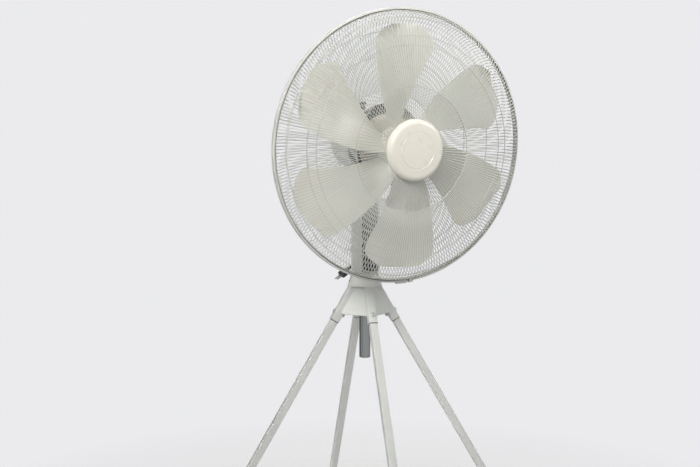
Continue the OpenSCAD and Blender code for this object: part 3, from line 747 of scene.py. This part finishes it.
def make_guards():
    """Both halves of the cage."""
    for name, depth, side, inner_r, mid_r, radii in (
            ("front_guard", FRONT_DEPTH, 1, 62, 143, (143, 237, 258, 300)),
            ("rear_guard", REAR_DEPTH, -1, 67, 131, (131, 212, 270))):
        wires = guard_wires(depth, side, inner_r, mid_r)
        piece(name + "_wires", wires, MOTOR, "head", "guard_wire", [name], smooth=80)
        rings = guard_rings(depth, side, radii, inner_r + 2)
        piece(name + "_rings", rings, MOTOR, "head", "guard_wire", smooth=80)


CLIP_TURN = -84
BAND_GAP = 0.55


def at_rim(corners):
    """A rounded profile, with its heights measured from the rim."""
    return [(p.x, RIM_A + p.y) for p in rounded(corners)]


def make_rim():
    """A rolled strip that holds both guards' rims, open at the bottom where its latch closes it. A dark rubber
    strip in its mouth paints the shadow inside the channel, seen between the wire ends.
    """
    lip, wall, half = 4.6, 1.1, BAND_HALF
    inner, edge = BAND_R - lip, half - wall
    extent = (240, CLIP_TURN + BAND_GAP, 360 - 2 * BAND_GAP)
    strip = at_rim([(inner, half, 0), (BAND_R, half, 2.4), (BAND_R, -half, 2.4), (inner, -half, 0),
                    (inner, -half + wall, 0), (BAND_R - wall, -half + wall, 1.5),
                    (BAND_R - wall, edge, 1.5), (inner, edge, 0)])
    piece("rim_band_strip", lathe(strip, *extent), MOTOR, "head", "guard_band", ["rim_band"])
    # Painted shade: a dark rubber strip between the band's lips stands in for the shadow gap inside the channel's
    # mouth.
    mouth_shade_strip = at_rim([(inner - 1.2, -half + wall, 0.4), (inner, -half + wall, 0), (inner, edge, 0),
                     (inner - 1.2, edge, 0.4)])
    piece("rim_mouth_shade_strip", lathe(mouth_shade_strip, *extent), MOTOR, "head", "rubber")

    shape = Shape()
    block = at_rim([(BAND_R, -5.6, 0.8), (BAND_R + 4, -5.6, 1.4), (BAND_R + 4, 5.6, 1.4), (BAND_R, 5.6, 0.8)])
    for start, sweep in ((CLIP_TURN - 5.4, 4.8), (CLIP_TURN + 0.6, 1.8)):
        shape.add(lathe(block, 12, start, sweep))
    at = spin(CLIP_TURN) @ move(BAND_R + 2, 0, RIM_A) @ spin(-90, "X")
    shape.add(extrude(circle(1.4, 20), -8, 14), at)
    shape.add(lathe(rounded([(0, 13.4, 0), (3, 13.4, 0.3), (3, 16, 1), (0, 16, 0)]), 24), at)
    piece("rim_clip_latch", shape, MOTOR, "head", "cream_plastic", ["rim_clip"])


def make_cap():
    """A round cream cap with a soft edge and one turned groove."""
    back, front = CAP_LOW.z, CAP_HIGH.z
    groove, wall = 42.2, 2.5
    profile = [(0, front + 0.9), (groove - 8, front + 0.75), (groove - 1.2, front + 0.5),
               (groove - 0.4, front - 0.3), (groove + 0.4, front - 0.3), (groove + 1.2, front + 0.45),
               (CAP_R - 20, front + 0.1)]
    fillet = 12.5
    for k in range(10):
        a = radians(90 - 10 * k)
        profile.append((CAP_R - fillet + fillet * cos(a), front - fillet - 0.4 + fillet * sin(a)))
    profile += [(CAP_R, back + 1), (CAP_R - 0.8, back), (CAP_R - wall, back),
                (CAP_R - wall, front - fillet - 1), (CAP_R - fillet - 1, front - wall - 0.8),
                (0, front - wall)]
    shape = Shape(lathe(profile, 128))
    hook = extrude(rectangle(7, 2.4, 0.6), back - 8, front - 3, 0.4)
    shape.add_round(hook, 4, move(CAP_R - 10, 0, 0) @ spin(90), 45)
    piece("cap_shell", shape, MOTOR, "head", "cream_plastic", ["cap"])


# ---- blade wheel

def edge_ccw(f):
    """A blade's edge angle on its anticlockwise side, from root (0) to tip (1)."""
    return 19.5 + 22 * (1 - f) ** 1.25 - 8 * max(0.0, (f - 0.88) / 0.12) ** 2.5


def edge_cw(f):
    """A blade's edge angle on its clockwise side."""
    return -18.5 + 16 * (1 - f) ** 1.5 + 13 * max(0.0, (f - 0.8) / 0.2) ** 2.4


def blade(nr=34, nv=20):
    """One blade as a closed thin body, thick at its root, with soft edges."""
    def point(f, v, side):
        """A point at f along the blade and v across it, on one side."""
        r = BLADE_ROOT + (BLADE_TIP - BLADE_ROOT) * f
        a = radians(edge_cw(f) + (edge_ccw(f) - edge_cw(f)) * v)
        camber = 9 * (1 - (2 * v - 1) ** 2) * (0.4 + 0.6 * f)
        depth = BLADE_HALF_DEPTH * (2 * v - 1) * (1 - 0.35 * f) - camber + 5
        thick = 1.5 - 0.5 * f + 3.5 * max(0.0, 1 - (r - BLADE_ROOT) / 26) ** 2
        thick *= sqrt(max(0.0, 1 - abs(2 * v - 1) ** 16)) * sqrt(max(0.0, 1 - f ** 50))
        return r * cos(a), r * sin(a), RIM_A + depth + side * thick

    across = [0.5 - 0.5 * cos(pi * j / nv) for j in range(nv + 1)]
    along = [sin(pi / 2 * i / nr) for i in range(nr + 1)]
    along[-2] = 0.997
    points = [point(f, v, side) for side in (-1, 1) for f in along for v in across]
    row, sheet = nv + 1, (nr + 1) * (nv + 1)
    faces = []
    for s in range(2):
        for i in range(nr):
            for j in range(nv):
                a = s * sheet + i * row + j
                faces.append((a, a + 1, a + row + 1, a + row))
    for j in range(nv):
        faces.append((j, j + 1, sheet + j + 1, sheet + j))
    return points, faces


def make_blades():
    """The blades on their hub, which has a stepped bore and ribs."""
    shape = Shape()
    shape.add_round(blade(), BLADES, start=BLADE_TURN)
    low, high = RIM_A - BLADE_HALF_DEPTH - 2, RIM_A + BLADE_HALF_DEPTH + 8
    profile = [(44, low, 1), (52, low, 2), (52, high, 5), (44, high - 1, 1.5), (44, high - 13, 3),
               (19, high - 15, 1.5), (19, high - 17, 0.5), (15, high - 17, 0.3), (15, high - 24, 0.3),
               (19, high - 24, 0.5), (44, high - 21, 3)]
    shape.add(lathe(rounded(profile)))
    rib = extrude(rectangle(26, 2.0, 0.6), high - 21, high - 8, 0.5)
    shape.add_round(rib, 12, move(31.5, 0, 0))
    piece("blade_wheel", shape, MOTOR, "rotor", "blade_plastic", ["fan_blades"], smooth=50)


def make_spinner():
    """The nut that holds the blade wheel, with grip ribs round it."""
    low = span("blade_nut", MOTOR)[0].z
    profile = rounded([(6, low, 0), (20, low, 0.8), (20, low + 3, 0.8), (13, low + 4.5, 1.5),
                       (12, low + 14, 2), (6, low + 15, 0.6)])
    shape = Shape(lathe(profile, 64))
    shape.add_round(extrude(rectangle(4.5, 3, 1), low + 2, low + 13, 0.8), 8, move(13.5, 0, 0))
    piece("blade_nut_grip", shape, MOTOR, "rotor", "knob_plastic", ["blade_nut"])


# ---- motor

def screw_head(r, h):
    """A pan head with a cross on it."""
    shape = Shape(lathe([(0, 0), (r, 0), (r, h * 0.45), (r * 0.82, h * 0.85), (r * 0.55, h), (0, h)], 24))
    for turn in (20, 110):
        shape.add(extrude(rectangle(r * 1.1, r * 0.26, r * 0.1), h - 0.05, h + 0.12), spin(turn))
    return shape.points, shape.faces


def add_screws(name, size, place, start=45):
    """Four steel screws on the motor's axis."""
    screws = Shape()
    screws.add_round(screw_head(*size), 4, place, start)
    piece(name, screws, MOTOR, "head", "bolt_steel")


def make_motor():
    """The finned front shell of the motor, with its four screws."""
    r, low, high, fins, boss_at = 83, 56, 104, 36, 74
    profile = [(72.5, low, 0.6), (79, low, 0.8), (79, high - 9, 3), (72, high, 4), (62, high, 2),
               (58, high - 5, 1.5), (30, high - 4, 1.5), (26, high, 1), (8, high, 0.6), (8, high - 3, 0.3),
               (16, high - 3, 0.3), (16, high - 12, 0.5), (72.5, high - 12, 4)]
    shape = Shape(lathe(rounded(profile), 108))
    fin = extrude(rounded([(r - 6, low, 0), (r, low, 1.2), (r, low + 34, 3), (r - 3, low + 39, 1.5),
                           (r - 6, low + 41, 0)]), -1.1, 1.1, 0.5)
    shape.add_round(fin, fins, spin(90, "X"), 5)
    shape.add_round(extrude(circle(6, 24), low, high - 1, 1.2), 4, move(boss_at, 0, 0), 45)
    piece("motor_front_shell", shape, MOTOR, "head", "housing_black", ["front_housing"])
    add_screws("motor_screws", (3.6, 2.2), move(boss_at, 0, high - 1))


def make_guard_mount():
    """The black plate that the rear guard sits on, and the ring nut that clamps it."""
    low = 104
    profile = rounded([(9, low, 0), (100, low, 0.8), (100, low + 3, 0.8), (64, low + 3, 0.6),
                       (60, low + 5, 0.5), (60, low + 14, 1), (52, low + 14, 1), (50, low + 8, 1.5),
                       (12, low + 8, 1), (9, low + 6, 0.5)])
    piece("guard_seat", lathe(profile), MOTOR, "head", "housing_black", ["guard_plate"])
    add_screws("guard_seat_screws", (3.6, 2.4), move(42, 0, low + 7.5))
    profile = rounded([(60.3, low + 7.8, 0), (76, low + 7.8, 0.6), (76, low + 10.2, 0.8),
                       (70, low + 10.8, 1), (68, low + 16.4, 1.6), (22, low + 16.6, 0.8),
                       (22, low + 14.8, 0.4), (60.3, low + 14.8, 1)])
    nut = Shape(lathe(profile))
    lug = extrude(rectangle(16, 5, 2), low + 9, low + 16, 1.2)
    nut.add_round(lug, 4, move(71, 0, 0) @ spin(90), 30)
    piece("guard_ring_nut", nut, MOTOR, "head", "cream_plastic", ["guard_nut"])


def make_rear_cover():
    """The shell over the motor and gearbox, with slots in its back and an opening below."""
    r, back, front, wall = 76, -72, 56, 2.5
    profile = rounded([(0, back, 0), (r - 14, back, 10), (r, back + 18, 12), (r, front, 0.8),
                       (r - wall, front, 0.8), (r - wall, back + 18, 10), (r - 15, back + wall, 8),
                       (0, back + wall, 0)], 8)
    cover = piece("motor_cover_shell", lathe(profile, 112), MOTOR, "head", "cover_plastic", ["rear_cover"])
    cuts = Shape()
    vent_r, pitch = 50, 8.5
    for k in range(-5, 6):
        reach = sqrt(vent_r ** 2 - (pitch * k) ** 2)
        slot = extrude(rectangle(3.6, 2 * reach, 1.7), back - 6, back + 8)
        cuts.add(slot, move(pitch * k, 0, 0))
    for side in (-1, 1):
        for k in range(8):
            slot = extrude(rectangle(4, 34, 1.9), -6, 12)
            cuts.add(slot, spin(side * (16 + 9 * k) + 90) @ move(r, 0, 12) @ spin(90, "Y") @ spin(90))
    carve(cover, MOTOR, cuts)
    carve(cover, HEAD, Shape(extrude(circle(48, 64), -30, 72)))
    carve(cover, HEAD, Shape(extrude(circle(3.2, 32), 150, 220), move(0, 34, 0)))
    screws = Shape()
    for a in (28, 152, 208, 332):
        screws.add(screw_head(3.4, 2), spin(a) @ move(r - 9, 0, back + 3.4) @ spin(180, "X"))
    piece("motor_cover_screws", screws, MOTOR, "head", "bolt_steel")


def make_clutch_knob():
    """The grooved knob that is pulled up to stop the panning."""
    low, high = span("clutch_knob", HEAD)
    top, x, y = high.z, (low.x + high.x) / 2, (low.y + high.y) / 2
    neck = top - 21
    profile = rounded([(0, top, 0), (8, top, 2), (9, top - 4, 1.5), (7.2, top - 7, 1.5), (7, neck, 1),
                       (2.5, neck, 0.3), (2.5, low.z, 0.6), (0, low.z, 0)])
    shape = Shape(lathe(profile, 40))
    shape.add_round(extrude(rectangle(1.2, 1.4, 0.4), top - 3.8, top - 1.4, 0.3), 16, move(8.7, 0, 0))
    piece("clutch_knob_grip", shape, HEAD @ move(x, y, 0), "clutch_knob", "knob_plastic", ["clutch_knob"])


# ---- neck

NECK_W = NECK_HIGH.x - NECK_LOW.x
NECK_D = NECK_HIGH.y - NECK_LOW.y
NECK_WALL = 2.5
PANEL_W = 44


def make_neck():
    """The light column cover, open at the front where the black panel fills it."""
    w, d, wall, half = NECK_W / 2, NECK_D / 2, NECK_WALL, PANEL_W / 2
    outline = rounded([(half + 0.3, -d, 0.6), (w, -d, 6.5), (w, d, 7), (-w, d, 7), (-w, -d, 6.5),
                       (-half - 0.3, -d, 0.6), (-half - 0.3, -d + wall, 0.6), (-w + wall, -d + wall, 4.2),
                       (-w + wall, d - wall, 4.5), (w - wall, d - wall, 4.5), (w - wall, -d + wall, 4.2),
                       (half + 0.3, -d + wall, 0.6)])
    low, high = NECK_LOW.z, NECK_HIGH.z
    shape = Shape(extrude(outline, low, high, 0.8))
    floor = rectangle(2 * w - 1, 2 * d - 1, 6.5, 6)
    shape.add(extrude(floor, low + 0.2, low + wall, 0.6, circle(POLE_R + 0.5, len(floor))))
    cover = piece("neck_column", shape, ROW, "mast", "neck_plastic", ["neck_cover"])
    holes = Shape(extrude(circle(5.2, 32), -8, 8), move(*GLAND) @ spin(90, "X"))
    for k in range(5):
        holes.add(extrude(rectangle(18, 2.6, 1.2), -6, 6), move(6, d, 860 - 7 * k) @ spin(90, "X"))
    carve(cover, ROW, holes)
    screws = Shape()
    for x, z in ((18, 898), (-18, 750), (18, 750)):
        screws.add(screw_head(3.2, 1.8), move(x, d - 0.3, z) @ spin(-90, "X"))
    piece("neck_screws", screws, ROW, "mast", "bolt_steel")

    panel = Shape(extrude(rounded([(-half, -d, 0.8), (half, -d, 0.8), (half, -d + wall, 0.4),
                                   (-half, -d + wall, 0.4)]), low + wall, high, 0.5))
    plate = piece("neck_front_panel", panel, ROW, "mast", "panel_plastic", ["neck_panel"])
    carve(plate, ROW, Shape(extrude(circle(5.2, 32), -10, 10), move(0, -d, SPEED_Z) @ spin(90, "X")))
    marks = Shape()
    for k in range(4):
        length = 5 if k == 0 else 3 + k
        tick = extrude(rectangle(1.5, length, 0.7), -0.05, 0.35, 0.15)
        marks.add(tick, move(0, -d, SPEED_Z) @ spin(90, "X") @ spin(-45 * k) @ move(0, 19.5 + length / 2, 0))
    piece("speed_marks", marks, ROW, "mast", "collar_enamel")


def make_speed_knob():
    """A skirted knob with a grip bar and a pointer line."""
    front = NECK_D / 2 + 0.4
    at = move(0, 0, SPEED_Z) @ spin(90, "X")
    profile = rounded([(0, front + 7.5, 0), (13, front + 7.2, 2.5), (17, front + 5, 2), (18, front, 0.6),
                       (3, front, 0.2), (3, 13.5, 0.2), (0, 13.5, 0)])
    shape = Shape(lathe(profile, 72), at)
    bar = rounded([(-4.2, -14.5, 3.5), (4.2, -14.5, 3.5), (3.4, 14.5, 3), (-3.4, 14.5, 3)])
    shape.add(extrude(bar, front + 5, front + 17.5, 1.6), at)
    ridge = extrude(rectangle(1.1, 1.5, 0.4), front + 0.5, front + 5, 0.3)
    shape.add_round(ridge, 36, move(17.4, 0, 0), about=at)
    piece("speed_knob_grip", shape, ROW, "speed_knob", "knob_plastic", ["speed_knob"])
    line = extrude(rectangle(1.1, 9, 0.5), front + 17.3, front + 17.75)
    piece("speed_pointer", Shape(line, at @ move(0, 8, 0)), ROW, "speed_knob", "collar_enamel")


def make_hook():
    """The hook that the coiled lead hangs on."""
    top = COIL_AT[1] + sqrt((COIL_R[1] - CORD_D / 2) ** 2 - (COIL_AT[0] - HOOK_X) ** 2) - 0.6
    d = NECK_D / 2
    plate = extrude(rectangle(16, 22, 3), -0.2, 2.5, 0.7)
    shape = Shape(plate, move(HOOK_X - 2, d, top - 3) @ spin(-90, "X"))
    x, y = HOOK_X + 4, COIL_Y[0]
    path = [Vector(p) for p in ((x, d, top - 3.4), (x, y + 1, top - 3.4), (x, y + 4.6, top - 2),
                                (x, y + 6, top + 2), (x, y + 6, top + 10))]
    outline = rectangle(8, 4.6, 1.2, 3)
    points = []
    for i, p in enumerate(path):
        way = (path[min(i + 1, len(path) - 1)] - path[max(i - 1, 0)]).normalized()
        up = Vector((1, 0, 0)).cross(way)
        points += [p + Vector((q.x, 0, 0)) + up * q.y for q in outline]
    shape.add((points, sheath(len(path), len(outline))))
    piece("lead_hook", shape, ROW, "mast", "neck_plastic", ["cord_hook"], smooth=40)


def make_tilt_knob():
    """The lobed knob that locks the tilt, on its stud."""
    at = move(0, 0, PIVOT_Z) @ spin(90, "Y")
    profile = rounded([(0, 15, 0), (5, 15, 0.5), (5, 21.5, 0.4), (9, 21.5, 0.5), (9, 27, 0.5), (0, 27, 0)])
    shape = Shape(lathe(profile, 40), at)
    shape.add(extrude(lobed(20, 5.2, 5), 26, 42, 3), at)
    shape.add(lathe([(0, 41.9), (8, 41.9), (8, 42.6), (6.5, 43), (0, 43)], 32), at)
    piece("tilt_knob_grip", shape, ROW, "tilt_knob", "knob_plastic", ["tilt_knob"])


# ---- stand

SPLAY = degrees(atan(FOOT_CIRCLE / LEG_APEX))


def leg_frame(quarter):
    """Along a leg, with Z up it from the apex."""
    return spin(STAND_TURN + 90 * quarter) @ move(0, 0, LEG_APEX) @ spin(-SPLAY, "X")


def at_height(height):
    """The distance along the leg at which a point of its outline is at that height."""
    return lambda x, y: (height - LEG_APEX + y * sin(radians(SPLAY))) / cos(radians(SPLAY))


def make_legs():
    """Four tubes cut level at the foot, with rubber shoes and bolts."""
    names = ("leg_front", "leg_right", "leg_rear", "leg_left")
    outer = rectangle(LEG_W, LEG_W, 2.4)
    inner = rectangle(LEG_W - 2 * LEG_WALL, LEG_W - 2 * LEG_WALL, 1.2)
    for q, name in enumerate(names):
        shape = Shape(extrude(outer, at_height(FOOT_SOLE), -72, 0, inner))
        piece(name + "_tube", shape, leg_frame(q), "stand", "painted_grey", [name])
    shoes, bolts = Shape(), Shape()
    foot_top = -sqrt(FOOT_CIRCLE ** 2 + LEG_APEX ** 2) + FOOT_HEIGHT
    for q in range(4):
        place = leg_frame(q)
        shoes.add(extrude(rectangle(LEG_W + 5, LEG_W + 5, 4.5), at_height(0.2), foot_top, 1.0,
                          rectangle(LEG_W - 0.4, LEG_W - 0.4, 4)), place)
        shoes.add(extrude(rectangle(LEG_W, LEG_W, 4), at_height(0), at_height(FOOT_SOLE - 0.4)), place)
        for k in range(3):
            shoes.add(extrude(rectangle(LEG_W + 6.2, LEG_W + 6.2, 5), foot_top - 8 - 5 * k,
                              foot_top - 6 - 5 * k, 0.8), place)
        half = LEG_W / 2 + SOCKET_WALL
        across = place @ move(0, 0, -BOLT_DROP) @ spin(90, "X")
        bolts.add(lathe([(0, half), (6.4, half), (6.4, half + 0.9), (0, half + 0.9)], 32), across)
        bolts.add(lathe(rounded([(0, half + 0.8, 0), (5, half + 0.8, 0.2), (4.8, half + 2.6, 1.4),
                                 (2.5, half + 3.8, 1.2), (0, half + 4, 0)]), 32), across)
        bolts.add(lathe([(0, -half), (6.4, -half), (6.4, -half - 0.9), (0, -half - 0.9)], 32), across)
        bolts.add(extrude(hexagon(9.4, 0.8), -half - 5.2, -half - 0.8, 0.7), across)
        bolts.add(extrude(circle(2.9, 24), -half - 7, half, 0.6), across)
    piece("rubber_feet", shoes, ROW, "stand", "rubber", ["feet"])
    piece("leg_bolt_set", bolts, ROW, "stand", "bolt_steel", ["leg_bolts"])


def make_stand_head():
    """Four sockets joined by sloping webs under a flat plate, with welds where they meet, and a dark rubber ring
    at each socket's end that paints the shadow gap round the leg.
    """
    socket_low, web_low = 611, 627
    socket_end = (LEG_APEX - socket_low) / cos(radians(SPLAY))
    outer = rectangle(LEG_W + 2 * SOCKET_WALL, LEG_W + 2 * SOCKET_WALL, 3.2)
    inner = rectangle(LEG_W + 0.3, LEG_W + 0.3, 2.2)
    shape = Shape()
    for q in range(4):
        shape.add(extrude(outer, -socket_end, at_height(STAND_TOP - 0.6), 0.5, inner), leg_frame(q))
    web_tilt = degrees(atan(tan(radians(SPLAY)) * cos(radians(45))))
    slope = tan(radians(SPLAY)) * sin(radians(45))
    top, bottom = LEG_APEX - STAND_TOP + 1, LEG_APEX - web_low
    for q in range(4):
        place = (spin(STAND_TURN + 45 + 90 * q) @ move(0, 0, LEG_APEX) @ spin(-web_tilt, "X")
                 @ move(0, -4, 0) @ spin(90, "X"))
        tilt = cos(radians(web_tilt))
        sheet = rounded([(-top * slope, -top / tilt, 0), (top * slope, -top / tilt, 0),
                         (bottom * slope, -bottom / tilt, 0.5), (-bottom * slope, -bottom / tilt, 0.5)])
        shape.add(extrude(sheet, -1, 1, 0.3), place)
        wide, narrow = (bottom - 2) * slope, (bottom - 4) * slope
        foot, brow = -bottom / tilt, -(bottom - 7) / tilt
        hem = rounded([(-wide, foot, 0.5), (wide, foot, 0.5), (narrow, brow, 0.5), (-narrow, brow, 0.5)])
        shape.add(extrude(hem, -2.4, 0.6, 0.5), place)
    bore, guide_r, guide_low = POLE_R + 0.6, 17, 633
    guide = rounded([(bore, guide_low, 0.3), (guide_r, guide_low, 0.6), (guide_r, STAND_TOP - 1, 0.3),
                     (bore, STAND_TOP - 1, 0.3)])
    shape.add(lathe(guide, 64))
    plate = rectangle(66, 66, 10)
    shape.add(extrude(plate, STAND_TOP - 3, STAND_TOP, 0.8, circle(bore, len(plate))),
              spin(STAND_TURN + 45))
    piece("stand_crown", shape, ROW, "stand", "painted_grey", ["stand_head"])
    # Painted shade: a dark rubber ring at each socket's end stands in for the shadow gap between socket and leg.
    shade_rings = Shape()
    shade_ring = rectangle(LEG_W + 2.2, LEG_W + 2.2, 2.8)
    opening = rectangle(LEG_W, LEG_W, 2.2)
    for q in range(4):
        shade_rings.add(extrude(shade_ring, -socket_end - 1.8, -socket_end + 1, 0.3, opening), leg_frame(q))
    piece("socket_shade_rings", shade_rings, ROW, "stand", "rubber")


def make_collar():
    """The flanged, tapered collar that guides the pole, with its set screws and its clamp."""
    low, top = STAND_TOP, COLLAR_TOP
    profile = rounded([(POLE_R + 0.1, low, 0.2), (44, low, 0.6), (44, low + 4, 1.6), (41.8, low + 4.6, 0.8),
                       (34, top, 4), (19, top, 1.5), (18, top - 2, 0.8), (POLE_R + 0.1, top - 2, 0.6)])
    shape = Shape(lathe(profile, 112))
    boss_end = 42
    boss = rounded([(4.2, 20, 0), (10.5, 20, 0), (9, boss_end, 1.6), (4.2, boss_end, 0.4)])
    clamp = move(0, 0, low + 20) @ spin(CLAMP_TURN) @ spin(90, "X")
    shape.add(lathe(boss, 40), clamp)
    piece("collar_body", shape, ROW, "stand", "collar_enamel", ["pole_collar"])
    screws = Shape()
    screw = extrude(hexagon(6.2, 0.4), 36, 41, 0.4, circle(1.6, 24))
    screws.add_round(screw, 3, spin(90, "X"), 20, move(0, 0, low + 12))
    piece("collar_set_screws", screws, ROW, "stand", "bolt_steel", ["collar_screws"])
    knob = Shape(lathe([(0, 14.5), (4, 14.5), (4, boss_end + 4), (0, boss_end + 4)], 24), clamp)
    knob.add(extrude(lobed(13, 3.2, 6), boss_end + 3, boss_end + 21, 2.4), clamp)
    knob.add(lathe(rounded([(0, boss_end + 0.6, 0), (7, boss_end + 0.6, 0.8), (8, boss_end + 4, 0.5),
                            (0, boss_end + 4, 0)]), 32), clamp)
    piece("clamp_knob_grip", knob, ROW, "clamp_knob", "knob_plastic", ["clamp_knob"])


def make_pole():
    """The polished sliding pole and its black end plug."""
    low = POLE_LOW + 2
    wall = 1.6
    profile = rounded([(POLE_R - wall, low, 0.3), (POLE_R, low, 0.5), (POLE_R, POLE_HIGH, 0.5),
                       (POLE_R - wall, POLE_HIGH, 0.3)])
    piece("pole_tube", lathe(profile), ROW, "mast", "pole_chrome", ["pole"])
    plug = rounded([(0, POLE_LOW, 0), (POLE_R, POLE_LOW, 1.2), (POLE_R, low - 0.05, 0.1),
                    (POLE_R - wall, low, 0), (POLE_R - wall, low + 11, 1), (0, low + 11, 0)])
    piece("pole_plug", lathe(plug, 64), ROW, "mast", "knob_plastic", ["pole_end_cap"])


# ---- CAD nodes that stay

def finish_cad_nodes():
    """Slot materials for the nodes that are kept, with their sharp edges eased."""
    slots = {s["node"]: s["material_slot"] for s in frame["record"]["subparts"]}
    for name, obj in NODES.items():
        if obj.hide_render:
            continue
        if not obj.material_slots:
            obj.data.materials.append(MATERIALS[slots[name]])
        for s in obj.material_slots:
            s.material = MATERIALS[slots[name]]
        weld = obj.modifiers.new("weld", "WELD")
        weld.merge_threshold = 1e-6
        ease = obj.modifiers.new("ease", "BEVEL")
        ease.width, ease.segments, ease.limit_method, ease.angle_limit = 0.0005, 2, "ANGLE", radians(38)
        ease.harden_normals = False


make_materials()
make_camera()
make_cord()
make_gland()
make_hook()
make_guards()
make_rim()
make_cap()
make_blades()
make_spinner()
make_motor()
make_guard_mount()
make_rear_cover()
make_clutch_knob()
make_neck()
make_speed_knob()
make_tilt_knob()
make_legs()
make_stand_head()
make_collar()
make_pole()
finish_cad_nodes()
make_floor()
make_world()
make_lights()
